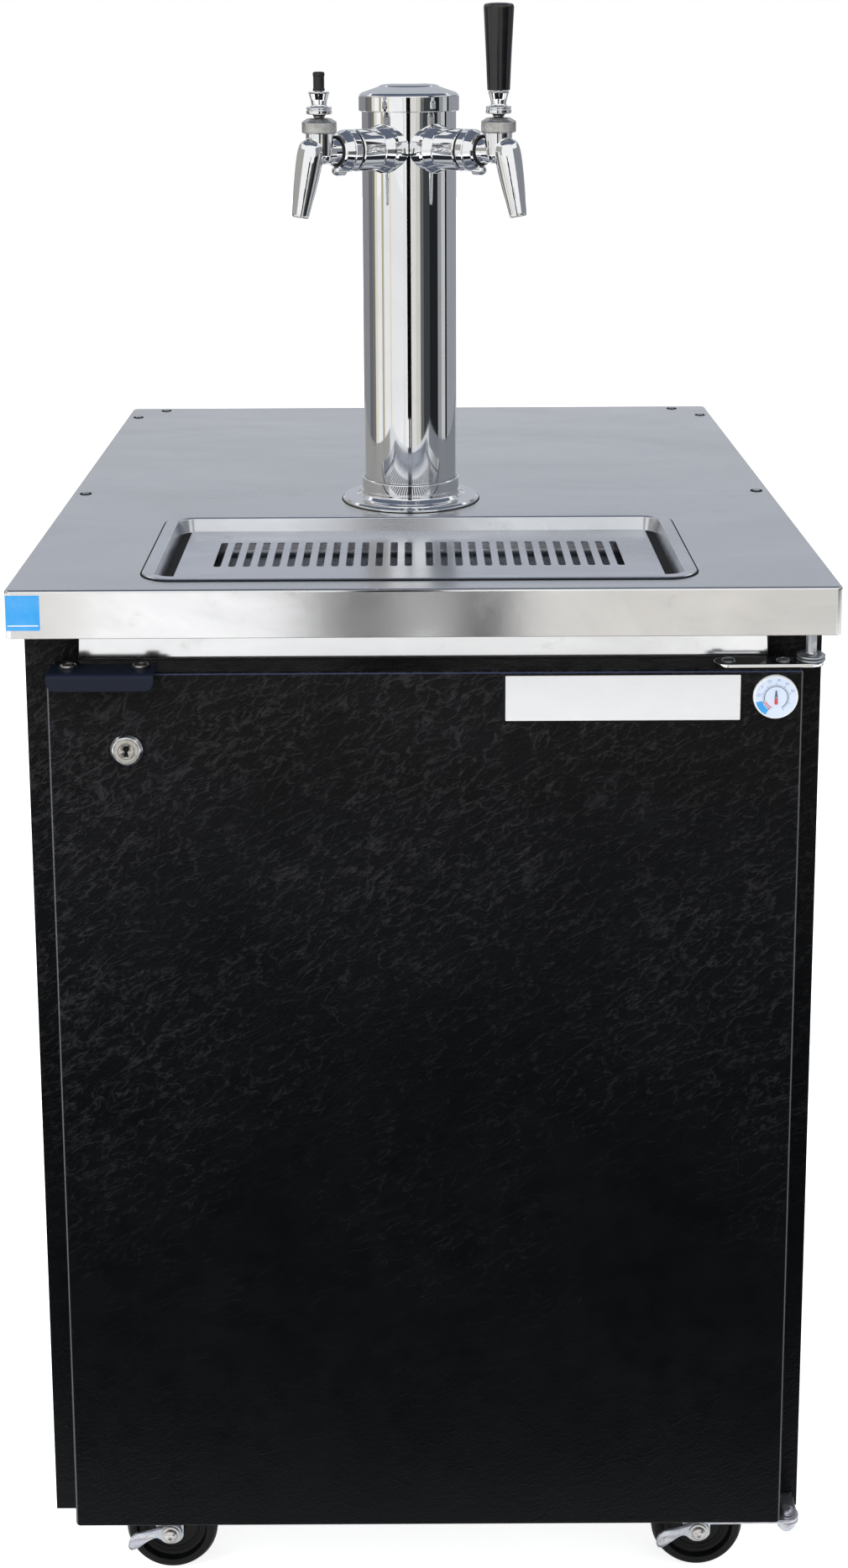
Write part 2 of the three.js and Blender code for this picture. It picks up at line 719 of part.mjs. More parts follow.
function faucetBody() {
  const rear = shank.outside + gap - tap.reach;
  const length = Math.hypot(spout.tipX - spout.start, spout.tipDrop);
  const top = spout.topRadius;
  const head = new THREE.SphereGeometry(top, roundSides, roundSides / 2);
  head.translate(spout.start, 0, spout.lift);
  return cut(
    join(
      alongX(rod(tap.bodyRadius, rear, 0)),
      rod(tap.neckRadius, -tap.bodyRadius, neck.top),
      head,
      spoutLine([[0, 0], [top, 0], [top * 0.96, length * 0.25], [spout.tipRadius, length], [0, length]]),
    ),
    alongX(rod(tap.boreRadius, rear - overrun, spout.start)),
    rod(neck.bore, 0, neck.top + overrun),
    spoutLine([[0, -plate], [spout.bore, -plate], [spout.bore, length + overrun], [0, length + overrun]]),
  );
}

const bonnet = {
  radius: 14, bottom: 14.9, knurlTop: 23.8, top: 27, topRadius: 9.4, mouth: 6.9, lip: 25.6,
};

function bonnetRing() {
  const socket = tap.ballRadius + gap;
  return ring([
    [tap.neckRadius + gap, bonnet.bottom], [bonnet.radius, bonnet.bottom],
    [bonnet.radius, bonnet.knurlTop],
    [bonnet.topRadius, bonnet.top], [bonnet.mouth + gap, bonnet.top], [bonnet.mouth, bonnet.lip],
    [socket, tap.pivot + sheet], [socket, neck.top + gap], [tap.neckRadius + gap, neck.top + gap],
  ]);
}

const lever = {
  finger: 1.8, fingerTip: 2.5, stem: 4.2, collar: 10.3, collarBottom: 30.2, collarTop: 36.2, waist: 6,
  waistHeight: 37.6, ferrule: 8.3, ferruleTop: 48, stud: 3, studTop: 57,
};

function tapLever() {
  const ball = tap.ballRadius;
  const from = THREE.MathUtils.radToDeg(-Math.acos(lever.finger / ball));
  const to = THREE.MathUtils.radToDeg(Math.acos(lever.stem / ball));
  const bevel = gap * 2;
  return turned([
    [0, lever.fingerTip], [lever.finger * 0.6, lever.fingerTip],
    [lever.finger, lever.fingerTip + lever.finger],
    ...arc(0, tap.pivot, ball, from, to, cornerSteps * 2),
    [lever.stem, lever.collarBottom], [lever.collar - bevel, lever.collarBottom],
    [lever.collar, lever.collarBottom + bevel], [lever.collar, lever.collarTop - bevel],
    [lever.collar - bevel, lever.collarTop], [lever.waist, lever.waistHeight],
    [lever.ferrule, lever.ferruleTop],
    [lever.ferrule - bevel, lever.ferruleTop + gap], [lever.stud, lever.ferruleTop + gap],
    [lever.stud, lever.studTop], [0, lever.studTop],
  ]);
}

const plunger = { rod: 2, collar: 5.2, grooveHalf: 3.3, collarWidth: 3, guideFrom: -18, guideTo: -16 };

function valvePlunger() {
  const { rod: thin, collar, grooveHalf, collarWidth, guideFrom, guideTo } = plunger;
  return alongX(turned([
    [0, guideFrom], [collar, guideFrom], [collar, guideTo], [thin, guideTo],
    [thin, -grooveHalf - collarWidth],
    [collar, -grooveHalf - collarWidth], [collar, -grooveHalf], [thin, -grooveHalf], [thin, grooveHalf],
    [collar, grooveHalf], [collar, grooveHalf + collarWidth], [0, grooveHalf + collarWidth],
  ]));
}

const handle = { bottomRadius: 9.1, topRadius: 12.3, height: 69.5, round: 2 };
const stub = { radius: 4.7, height: 15.5 };

function capped(bottomRadius, topRadius, height, round) {
  const base = lever.ferruleTop + gap * 2;
  const bore = lever.stud + gap;
  const socket = lever.studTop + gap;
  return turned([
    [0, socket], [bore, socket], [bore, base], [bottomRadius, base], [topRadius, base + height - round],
    [topRadius - round * 0.3, base + height - round * 0.3], [topRadius - round, base + height],
    [0, base + height],
  ]);
}

function tapAssembly(side, prefix) {
  const parts = [
    node(`${prefix}_saddle`, tapSaddle(side), 'chrome'),
    node(`${prefix}_shank`, tapShank(), 'chrome'),
    node(`${prefix}_coupling_nut`, couplingNut(), 'chrome'),
    node(`${prefix}_faucet_body`, faucetBody(), 'chrome'),
    node(`${prefix}_bonnet_ring`, bonnetRing(), 'steel'),
    node(`${prefix}_lever`, tapLever(), 'chrome'),
    node(`${prefix}_plunger`, valvePlunger(), 'steel'),
  ];
  if (side > 0) {
    const grip = capped(handle.bottomRadius, handle.topRadius, handle.height, handle.round);
    parts.push(node('tap_handle', grip, 'blackPlastic'));
  } else {
    parts.push(node('thread_cap', capped(stub.radius, stub.radius, stub.height, gap * 2), 'blackPlastic'));
  }
  const group = new THREE.Group();
  group.applyMatrix4(tapFrame(side));
  group.add(...parts);
  return group;
}

// Door
const doorHalfHeight = (door.top - door.bottom) / 2;
const doorMiddle = (door.top + door.bottom) / 2;

function onDoor(geometry) {
  return facingFront(geometry).translate(door.centreX, door.front, doorMiddle);
}

function doorSkin() {
  const edge = door.edgeRadius;
  const deep = -door.thickness;
  const profile = [
    [edge, 0], [edge * 0.3, -edge * 0.3], [0, -edge], [0, deep], [sheet, deep], [sheet, -sheet],
  ];
  const pan = onDoor(stepped(profile, door.halfWidth, doorHalfHeight, door.cornerRadius));
  return cut(pan, lockBore(gap));
}

function doorCore() {
  const front = -sheet - gap;
  const back = door.linerThickness + gap - door.thickness;
  const inset = sheet + gap;
  const profile = [[inset, front], [inset, back]];
  const slab = onDoor(stepped(profile, door.halfWidth, doorHalfHeight, door.cornerRadius));
  return cut(slab, lockBore(gap));
}

function doorLiner() {
  const inset = sheet + gap;
  const front = door.linerThickness - door.thickness;
  const profile = [[inset, front], [inset, -door.thickness]];
  const panel = onDoor(stepped(profile, door.halfWidth, doorHalfHeight, door.cornerRadius));
  return cut(panel, lockBore(gap));
}

function doorGasket() {
  const near = -door.thickness - gap;
  const far = door.front - cabinet.front + gap;
  const outer = door.gasketEdge;
  const inner = outer + door.gasketWidth;
  const profile = [[outer, near], [outer, far], [inner, far], [inner, near]];
  return onDoor(stepped(profile, door.halfWidth, doorHalfHeight, door.cornerRadius, true));
}

const pull = { inset: 2.3, width: 79, reach: 15.5, depth: 28, lip: 13, radius: 6 };
pull.left = door.centreX - door.halfWidth + pull.inset;
pull.right = pull.left + pull.width;
pull.front = door.front - pull.reach;
pull.back = pull.front + pull.depth;

function doorPull() {
  const base = door.top + gap;
  const top = base + plate;
  const shelf = block([pull.left, pull.right], [pull.front, pull.back], [base, top]);
  const low = top - pull.lip;
  const outline = [
    [pull.right, top], [pull.left, top],
    ...arc(pull.left + pull.radius, low + pull.radius, pull.radius, 180, 270),
    ...arc(pull.right - pull.radius, low + pull.radius, pull.radius, 270, 360),
  ];
  return join(shelf, facingFront(extruded(outline, plate)).translate(0, pull.front + plate, 0));
}

const lock = {
  inset: 58.3, drop: 59.6, radius: 9, bezelRadius: 12.3, bezel: 3.5, plug: 6, keyWidth: 2,
  keyHeight: 7, keyDepth: 8,
  camLength: 30, camHalf: 6,
};

lock.x = door.centreX - door.halfWidth + lock.inset;
lock.z = door.top - lock.drop;

function onLock(geometry) {
  return facingFront(geometry).translate(lock.x, door.front, lock.z);
}

function lockBore(grow) {
  return onLock(rod(lock.radius + grow, -door.thickness - overrun, overrun));
}

function lockBarrel() {
  const inner = lock.plug + gap;
  return onLock(ring([
    [inner, lock.bezel], [lock.bezelRadius - sheet, lock.bezel], [lock.bezelRadius, lock.bezel - sheet],
    [lock.bezelRadius, gap], [lock.radius, gap], [lock.radius, -door.thickness - gap],
    [inner, -door.thickness - gap],
  ]));
}

function lockPlug() {
  const rear = -door.thickness - gap * 2;
  const half = lock.keyWidth / 2;
  const tall = lock.keyHeight / 2;
  const key = block([-half, half], [-tall, tall], [lock.bezel - lock.keyDepth, overrun]);
  const cam = block([-lock.camHalf, lock.camHalf], [-lock.camLength, lock.camHalf], [rear - plate, rear]);
  return onLock(join(cut(rod(lock.plug, rear - plate, lock.bezel - gap), key), cam));
}

const dial = { inset: 20.8, drop: 20.1, radius: 16.6, rim: 3.2, crown: 4.4 };
dial.x = door.centreX + door.halfWidth - dial.inset;
dial.z = door.top - dial.drop;

function thermometer() {
  const r = dial.radius;
  const disc = turned(
    [[0, gap], [r, gap], [r, dial.rim], [r - sheet, dial.crown], [0, dial.crown]],
    largeSides,
  );
  return facingFront(disc).translate(dial.x, door.front, dial.z);
}

// Hinges: a leaf on the door and a bracket on the cabinet share one upright pin line
function eyeLeaf(left, eye) {
  const half = hinge.leafHalfDepth;
  return [
    ...arc(left + half, hinge.y, half, 90, 270),
    ...arc(hinge.x, hinge.y, eye, -90, 90, cornerSteps * 2),
  ];
}

function pinBore(z0, z1) {
  return rod(hinge.pinRadius + gap, z0, z1).translate(hinge.x, hinge.y, 0);
}

function hingeLeaf(base) {
  const leaf = extruded(eyeLeaf(hinge.x - hinge.leafLength, hinge.eyeRadius), plate).translate(0, 0, base);
  return cut(leaf, pinBore(base - overrun, base + overrun));
}

const upper = { legHeight: 17, legInside: 26.5, legOutside: 10.5 };
upper.base = door.top + gap;
upper.plateTop = cabinetTop - gap;
upper.plateBase = upper.plateTop - plate;

function upperBracket() {
  const back = cabinet.front - gap;
  const x = [hinge.x - upper.legInside, hinge.x + upper.legOutside];
  const leg = block(x, [back - plate, back], [upper.plateTop - upper.legHeight, upper.plateTop]);
  const arm = block(x, [hinge.y, back], [upper.plateBase, upper.plateTop]);
  const eye = rod(hinge.eyeRadius, upper.plateBase, upper.plateTop).translate(hinge.x, hinge.y, 0);
  return join(leg, arm, eye, upperPin());
}

function upperPin() {
  const r = hinge.pinRadius;
  const w = hinge.washerRadius;
  const first = plate + gap;
  const second = first + sheet * 2 + gap;
  const foot = -gap * 2;
  return turned([
    [0, foot], [r, foot], [r, first], [w - gap, first], [w, first + gap], [w, first + sheet * 2 - gap],
    [w - gap, first + sheet * 2], [r * 1.5, first + sheet * 2], [r * 1.5, second], [w - gap, second],
    [w, second + gap], [w, second + sheet * 2 - gap], [w - gap, second + sheet * 2],
    [r, second + sheet * 2],
    [r, upper.plateTop - upper.base - sheet], [0, upper.plateTop - upper.base - sheet],
  ]).translate(hinge.x, hinge.y, upper.base);
}

const lower = {
  legInside: 11.5, legOutside: 4.5, legHeight: 11, headRadius: 5.6, headHeight: 4, nutRadius: 7,
  nutHeight: 8,
};
lower.leafBase = door.bottom - gap - plate;
lower.plateTop = lower.leafBase - gap;
lower.plateBase = lower.plateTop - plate;

function lowerBracket() {
  const back = cabinet.front - gap;
  const x = [hinge.x - lower.legInside, hinge.x + lower.legOutside];
  const leg = block(x, [back - plate, back], [lower.plateTop - lower.legHeight, lower.plateTop]);
  const arm = block(x, [hinge.y, back], [lower.plateBase, lower.plateTop]);
  const eye = rod(hinge.eyeRadius, lower.plateBase, lower.plateTop).translate(hinge.x, hinge.y, 0);
  const pin = turned([
    [0, lower.plateBase - lower.nutHeight], [lower.nutRadius * 0.6, lower.plateBase - lower.nutHeight],
    [lower.nutRadius, lower.plateBase - lower.nutHeight * 0.6], [lower.nutRadius, lower.plateBase],
    [hinge.pinRadius, lower.plateBase], [hinge.pinRadius, door.bottom],
    [lower.headRadius, door.bottom], [lower.headRadius, door.bottom + lower.headHeight * 0.7],
    [lower.headRadius * 0.8, door.bottom + lower.headHeight], [0, door.bottom + lower.headHeight],
  ]);
  return join(leg, arm, eye, pin.translate(hinge.x, hinge.y, 0));
}

// Casters
const swivel = {
  plateHalf: 31, bossRadius: 24, bossHeight: 9, kingpin: 5, crownHeight: 4.6, crownRadius: 22,
  legThickness: 3,
  legGap: 1.3, footRadius: 11, boltRadius: 6.6, boltHeight: 5.5, legShare: 0.86,
  footStart: 200, footEnd: 340,
};
const railTop = cabinet.bottom - gap;
const bossFoot = railTop - plate - swivel.bossHeight;

function casterRail(y) {
  const half = caster.x + swivel.plateHalf + overrun;
  const bar = block([-half, half], [-swivel.plateHalf, swivel.plateHalf], [railTop - plate, railTop]);
  const bosses = [-1, 1].map((side) => {
    return rod(swivel.bossRadius, bossFoot, railTop - sheet).translate(side * caster.x, 0, 0);
  });
  const sockets = [-1, 1].map((side) => {
    const socket = rod(swivel.kingpin + gap, bossFoot - overrun, railTop - plate);
    return socket.translate(side * caster.x, 0, 0);
  });
  return cut(join(bar, ...bosses), ...sockets).translate(0, y, 0);
}

const legInner = caster.wheelHalfWidth + swivel.legGap;
const legOuter = legInner + swivel.legThickness;
const crownTop = bossFoot - gap;
const crownFoot = crownTop - swivel.crownHeight;

function casterFork(withBrake) {
  const r = swivel.crownRadius;
  const foot = swivel.footRadius;
  const x = caster.lead;
  const z = caster.wheelRadius;
  const outline = [
    [-r * swivel.legShare, crownFoot + sheet], ...arc(x, z, foot, swivel.footStart, swivel.footEnd),
    [r * swivel.legShare, crownFoot + sheet],
  ];
  const legs = [legInner, -legOuter].map((y) => {
    return facingFront(extruded(outline, swivel.legThickness)).translate(0, y + swivel.legThickness, 0);
  });
  const bridge = block(
    [-r * swivel.legShare, r * swivel.legShare],
    [-legOuter, legOuter],
    [crownFoot, crownFoot + plate],
  );
  const reach = legOuter + (withBrake ? brake.thickness + gap * 2 : 0);
  const axle = alongY(rod(caster.axle, -legOuter, reach)).translate(x, 0, z);
  const tail = alongY(rod(swivel.boltRadius, -legOuter - swivel.boltHeight, -legOuter)).translate(x, 0, z);
  const head = alongY(rod(swivel.boltRadius, reach, reach + swivel.boltHeight)).translate(x, 0, z);
  const kingpin = rod(swivel.kingpin, crownFoot, railTop - plate - gap);
  return join(rod(r, crownFoot, crownTop), bridge, ...legs, axle, tail, head, kingpin);
}

function casterWheel() {
  const w = caster.wheelHalfWidth;
  const r = caster.wheelRadius;
  const bore = caster.axle + gap;
  const rimIn = r * 0.72;
  const dish = w * 0.62;
  const hub = bore * 2;
  const tread = w * 0.7;
  const shoulder = r * 0.97;
  const wheel = ring([
    [bore, -w], [hub, -w], [hub, -dish], [rimIn, -dish], [rimIn + sheet, -w], [shoulder, -w], [r, -tread],
    [r, tread], [shoulder, w], [rimIn + sheet, w], [rimIn, dish], [hub, dish], [hub, w], [bore, w],
  ], wheelSides);
  return alongY(wheel).translate(caster.lead, 0, caster.wheelRadius);
}

const brake = {
  thickness: 2.4, hubRadius: 9.5, hubStart: -80, hubEnd: 110,
  length: 29, drop: 4.6, tipRadius: 6, tipStart: 100, tipEnd: 280, waist: 4, lift: 2,
};

function brakeLever() {
  const tipX = -brake.length;
  const tipZ = -brake.drop;
  const outline = [
    ...arc(0, 0, brake.hubRadius, brake.hubStart, brake.hubEnd),
    [tipX * 0.4, brake.waist + brake.lift], [tipX * 0.7, brake.waist],
    ...arc(tipX, tipZ, brake.tipRadius, brake.tipStart, brake.tipEnd),
    [tipX * 0.7, tipZ - brake.waist], [tipX * 0.3, tipZ - brake.waist],
  ];
  const arm = facingFront(extruded(outline, brake.thickness));
  const bore = alongY(rod(caster.axle + gap, -overrun, overrun));
  const face = -legOuter - gap;
  return cut(arm, bore).translate(0, face, 0).translate(caster.lead, 0, caster.wheelRadius);
}

function casterSet(label, x, y, braked) {
  const fork = node(`${label}_caster_fork`, casterFork(braked), 'steel');
  const parts = [fork, node(`${label}_caster_wheel`, casterWheel(), 'rubber')];
  if (braked) parts.push(node(`${label}_caster_brake`, brakeLever(), 'steel'));
  return placed(x, y, 0, ...parts);
}

// The whole cooler
const cooler = new THREE.Group();

cooler.add(
  node('outer_casing', outerCasing(), 'vinyl'),
  node('insulation_foam', insulation(), 'foam'),
  node('inner_liner', innerLiner(), 'aluminium'),
  node('header_rail', headerRail(), 'stainless'),
  node('rear_grille', rearGrille(), 'blackMetal'),
  node('compressor', compressor(), 'blackMetal'),
  node('condenser_coil', condenserCoil(), 'aluminium'),
  node('condenser_fan', condenserFan(), 'blackPlastic'),
  node('condenser_fan_motor', condenserMotor(), 'steel'),
  node('evaporator_coil', evaporatorCoil(), 'aluminium'),
  node('evaporator_fan', evaporatorFan(), 'whitePlastic'),
  node('thermostat_box', thermostatBox(), 'whitePlastic'),
  node('thermostat_knob', thermostatKnob(), 'blackPlastic'),
);

cooler.add(
  node('counter_skin', counterSkin(), 'stainless'),
  node('counter_core', counterCore(), 'board'),
  node('drip_pan', dripPan(), 'stainless'),
  node('drip_grille', dripGrille(), 'stainless'),
);

const column = placed(
  tower.x, tower.y, counter.top,
  node('tower_flange', towerFlange(), 'chrome'),
  node('tower_column', towerColumn(), 'chrome'),
  node('tower_cap', towerCap(), 'chrome'),
  tapAssembly(-1, 'left'),
  tapAssembly(1, 'right'),
);
cooler.add(column);

cooler.add(
  node('door_skin', doorSkin(), 'vinyl'),
  node('door_core', doorCore(), 'foam'),
  node('door_liner', doorLiner(), 'aluminium'),
  node('door_gasket', doorGasket(), 'rubber'),
  node('door_pull', doorPull(), 'blackMetal'),
  node('lock_barrel', lockBarrel(), 'chrome'),
  node('lock_plug', lockPlug(), 'chrome'),
  node('thermometer', thermometer(), 'whitePlastic'),
  node('upper_hinge_leaf', hingeLeaf(upper.base), 'steel'),
  node('upper_hinge_bracket', upperBracket(), 'steel'),
  node('lower_hinge_leaf', hingeLeaf(lower.leafBase), 'steel'),
  node('lower_hinge_bracket', lowerBracket(), 'steel'),
);

cooler.add(
  node('front_caster_rail', casterRail(caster.frontY), 'steel'),
  node('rear_caster_rail', casterRail(caster.rearY), 'steel'),
  casterSet('front_left', -caster.x, caster.frontY, true),
  casterSet('front_right', caster.x, caster.frontY, true),
  casterSet('rear_left', -caster.x, caster.rearY, false),
  casterSet('rear_right', caster.x, caster.rearY, false),
);

export default cooler;
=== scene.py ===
import json
from math import acos, atan2, ceil, cos, degrees, pi, radians, sin, tan

import bmesh
import bpy
from mathutils import Matrix, Vector

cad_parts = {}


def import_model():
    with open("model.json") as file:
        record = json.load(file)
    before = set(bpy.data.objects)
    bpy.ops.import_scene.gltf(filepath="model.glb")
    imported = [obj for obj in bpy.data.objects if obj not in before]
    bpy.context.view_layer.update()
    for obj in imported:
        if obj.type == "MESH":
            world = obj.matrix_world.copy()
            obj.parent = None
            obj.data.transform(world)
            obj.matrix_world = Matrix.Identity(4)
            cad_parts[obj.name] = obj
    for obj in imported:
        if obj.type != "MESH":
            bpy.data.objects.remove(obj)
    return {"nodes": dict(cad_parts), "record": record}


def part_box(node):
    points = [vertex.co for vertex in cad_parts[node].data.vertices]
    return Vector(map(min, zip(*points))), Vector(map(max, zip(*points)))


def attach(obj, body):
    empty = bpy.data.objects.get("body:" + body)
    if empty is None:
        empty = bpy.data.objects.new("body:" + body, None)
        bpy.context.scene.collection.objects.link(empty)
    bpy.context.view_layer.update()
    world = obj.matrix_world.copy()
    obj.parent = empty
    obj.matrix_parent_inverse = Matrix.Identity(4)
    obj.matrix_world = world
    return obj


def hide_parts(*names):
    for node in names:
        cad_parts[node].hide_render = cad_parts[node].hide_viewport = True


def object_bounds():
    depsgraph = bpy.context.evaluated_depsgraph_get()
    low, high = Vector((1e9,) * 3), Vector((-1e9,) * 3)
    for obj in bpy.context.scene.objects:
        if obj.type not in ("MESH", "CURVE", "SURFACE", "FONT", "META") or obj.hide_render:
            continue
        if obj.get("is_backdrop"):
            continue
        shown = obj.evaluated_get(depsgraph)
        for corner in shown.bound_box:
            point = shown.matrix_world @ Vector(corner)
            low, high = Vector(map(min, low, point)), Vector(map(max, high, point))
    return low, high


# A single-keg draft beer cooler: an insulated cabinet on casters, a steel counter with a drip tray,
# and a polished column with two taps. Sizes are in millimetres up to the moment a mesh is made.
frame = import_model()
solid_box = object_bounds()

MM = 0.001
SHEET = 1.2
SMOOTH_UP_TO = 32
STRAIGHT = Matrix.Identity(4)
LENGTHWISE = Matrix.Rotation(pi / 2, 4, "Y")
FACING = Matrix.Rotation(pi / 2, 4, "X")
record = frame["record"]
body_of = {node: body for body, nodes in record["behaviour"]["bodies"].items() for node in nodes}


def span(node):
    """A solid's lowest and highest corners, in millimetres."""
    low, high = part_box(node)
    return low / MM, high / MM


def moved(x, y, z):
    return Matrix.Translation((x, y, z))


# Shader sums
class Value:
    """A socket whose value can stand in sums."""

    def __init__(self, nodes, socket):
        self.nodes = nodes
        self.socket = socket

    def sum(self, operation, *terms):
        return self.nodes.node("Math", dict(enumerate(terms)), operation=operation)

    def __add__(self, other):
        return self.sum("ADD", self, other)

    def __sub__(self, other):
        return self.sum("SUBTRACT", self, other)

    def __mul__(self, other):
        return self.sum("MULTIPLY", self, other)

    def __abs__(self):
        return self.sum("ABSOLUTE", self)

    __radd__ = __add__
    __rmul__ = __mul__


class Nodes:
    """A node tree that is written as expressions."""

    def __init__(self, tree):
        self.tree = tree
        tree.nodes.clear()

    def node(self, kind, sockets=None, output=0, **settings):
        node = self.tree.nodes.new("ShaderNode" + kind)
        for name, value in settings.items():
            setattr(node, name, value)
        for name, value in (sockets or {}).items():
            if isinstance(value, Value):
                self.tree.links.new(value.socket, node.inputs[name])
            else:
                node.inputs[name].default_value = value
        return Value(self, node.outputs[output]) if len(node.outputs) else node

    def position(self, stretch=(1, 1, 1), turn=(0, 0, 0)):
        """The point on the object in metres, with the pattern stretched along turned axes."""
        sockets = {"Vector": self.node("TexCoord", output="Object"), "Scale": stretch, "Rotation": turn}
        return self.node("Mapping", sockets, vector_type="TEXTURE")

    def noise(self, at, scale, detail=3.0, roughness=0.5, distortion=0.0):
        names = ["Vector", "Scale", "Detail", "Roughness", "Distortion"]
        return self.node("TexNoise", dict(zip(names, [at, scale, detail, roughness, distortion])))

    def cells(self, at, scale, output=0):
        return self.node("TexVoronoi", {"Vector": at, "Scale": scale}, output)

    def part(self, vector, axis):
        return self.node("SeparateXYZ", {"Vector": vector}, axis)

    def fitted(self, value, low, high, to_low=0.0, to_high=1.0):
        names = ["Value", "From Min", "From Max", "To Min", "To Max"]
        return self.node("MapRange", dict(zip(names, [value, low, high, to_low, to_high])))

    def between(self, share, low, high):
        return self.fitted(share, 0.0, 1.0, low, high)

    def crease(self, value, sharpness):
        """1 along the lines where a noise passes its middle, and 0 away from them."""
        return self.fitted(abs(value - 0.5), 0.0, 1.0 / sharpness, 1.0, 0.0)

    def blend(self, share, first, second):
        """A mix of two colours, each one a socket or (red, green, blue)."""
        first, second = [(*colour, 1) if isinstance(colour, tuple) else colour for colour in (first, second)]
        return self.node("Mix", {0: share, 6: first, 7: second}, 2, data_type="RGBA")

    def light_path(self, output):
        return self.node("LightPath", {}, output)


class Finish(Nodes):
    """One material."""

    def __init__(self, name):
        self.material = bpy.data.materials.new(name)
        self.material.use_nodes = True
        super().__init__(self.material.node_tree)

    def surface(self, relief, **sockets):
        """Ends the material; relief is a height in millimetres."""
        named = {}
        for name, value in sockets.items():
            named[name.replace("_", " ").title().replace("Ior", "IOR")] = value
        named["Normal"] = self.node("Bump", {"Height": relief, "Distance": MM, "Strength": 1.0})
        return self.ended(self.node("BsdfPrincipled", named))

    def ended(self, shader):
        self.node("OutputMaterial", {"Surface": shader})
        return self.material


def tone(*parts):
    """A colour from screen values of 0 to 255."""
    shares = [part / 255 for part in parts]
    return tuple(share / 12.92 if share <= 0.04045 else ((share + 0.055) / 1.055) ** 2.4 for share in shares)


def scaled(colour, *shares):
    """A colour with its parts scaled, by one share or by three."""
    return tuple(part * share for part, share in zip(colour, shares * 3))


# Finishes
def coated_steel(name, edge_highlight=None):
    """Black coated steel with a leather grain whose creases rise to the right.

    edge_highlight is a panel's left, right and highest line, along which a lighter line is painted as a
    highlight on the rounded edges.
    """
    f = Finish(name)
    plain = f.position()
    slant = f.position((2.3, 1, 1), (0, radians(-30), 0))
    steep = f.position((2.0, 1, 1), (0, radians(-52), 0))
    broad = f.crease(f.noise(slant, 84, 3, 0.5, 0.6), 22)
    middle = f.crease(f.noise(slant, 190, 3, 0.5, 0.4), 13)
    across = f.crease(f.noise(steep, 135, 3, 0.5, 0.5), 17)
    pebble = f.cells(f.position((1.5, 1, 1), (0, radians(-34), 0)), 620)
    patches = f.fitted(f.noise(plain, 5, 2), 0.38, 0.62, 0.55, 1.0)
    up = f.part(plain, 2)
    grain = (0.42 * broad + 0.26 * middle + 0.30 * across) * patches * f.fitted(up, 0.3, 0.84, 0.2, 1.0)
    relief = 0.12 * pebble + 0.05 * f.noise(plain, 900, 2) + grain
    dust = f.fitted(f.noise(plain, 14, 5, 0.6), 0.35, 0.75)
    # Painted shade and sheen: darker tones towards the bottom, lighter ones towards the top.
    low = f.blend(dust, tone(3, 5, 8), tone(6, 9, 12))
    high = f.blend(dust, tone(12, 12, 13), tone(18, 18, 20))
    colour = f.blend(f.fitted(up, 0.5, 0.84), low, high)
    # Painted highlight: the creases are lightened, most towards the top.
    colour = f.blend(f.fitted(grain, 0.12, 0.5, 0.0, 0.5), colour, tone(54, 54, 56))
    if edge_highlight:
        # Painted highlight: a thin lighter line along the top edge and along both side edges.
        left, right, highest = [value * MM for value in edge_highlight]
        line = 0.8 * MM
        beyond = abs(f.part(plain, 0) - (left + right) / 2) - (right - left) / 2
        colour = f.blend(f.fitted(abs(up - highest), 0.0, line, 0.75, 0.0), colour, tone(64, 74, 104))
        colour = f.blend(f.fitted(abs(beyond), 0.0, line, 0.7, 0.0), colour, tone(118, 120, 126))
    rough = f.fitted(f.noise(plain, 60, 4), 0.3, 0.7, 0.38, 0.52)
    return f.surface(relief, base_color=colour, roughness=rough, specular_ior_level=0.12)


def satin_black(name, colour, rough, specular=0.5):
    """Baked enamel with a slight orange peel and a film of dust."""
    f = Finish(name)
    at = f.position()
    peel = f.noise(at, 700, 2)
    dust = f.fitted(f.noise(at, 45, 5, 0.65), 0.45, 0.8)
    return f.surface(
        0.012 * peel, base_color=f.blend(dust, tone(*scaled(colour, 0.8)), tone(*colour)),
        roughness=f.between(dust, rough - 0.05, rough + 0.12), specular_ior_level=specular,
    )


def brushed_steel(name, light, rough=0.19, spread=0.12, lines=0.002, wear=1.0):
    """Stainless sheet brushed along its length, dulled in patches, with hairline scratches."""
    f = Finish(name)
    at = f.position()
    grain = f.noise(f.position((70, 1, 1)), 1500, 3, 0.7)
    coarse = f.noise(f.position((40, 1, 1)), 420, 2)
    smears = f.noise(f.position((2.2, 1, 1)), 9, 5, 0.62, 0.5)
    spots = f.fitted(f.noise(at, 26, 5, 0.7), 0.60, 0.78)
    arcs = f.crease(f.noise(f.position((3.4, 1, 1), (0, 0, 0.3)), 26, 1, 0.4, 1.6), 420)
    arcs = arcs * f.fitted(f.noise(at, 21, 2), 0.52, 0.66)
    dull = f.fitted(smears, 0.36, 0.68)
    colour = f.blend(dull, light, scaled(light, 1 - 0.18 * wear))
    colour = f.blend(0.35 * wear * spots, colour, scaled(light, 0.55, 0.54, 0.54))
    colour = f.blend(0.35 * wear * arcs, colour, (0.9, 0.91, 0.92))
    roughness = f.between(dull, rough, rough + spread) + spread * spots + 0.8 * spread * grain
    relief = lines * grain + 0.5 * lines * coarse
    return f.surface(relief, base_color=colour, roughness=roughness, metallic=1.0)


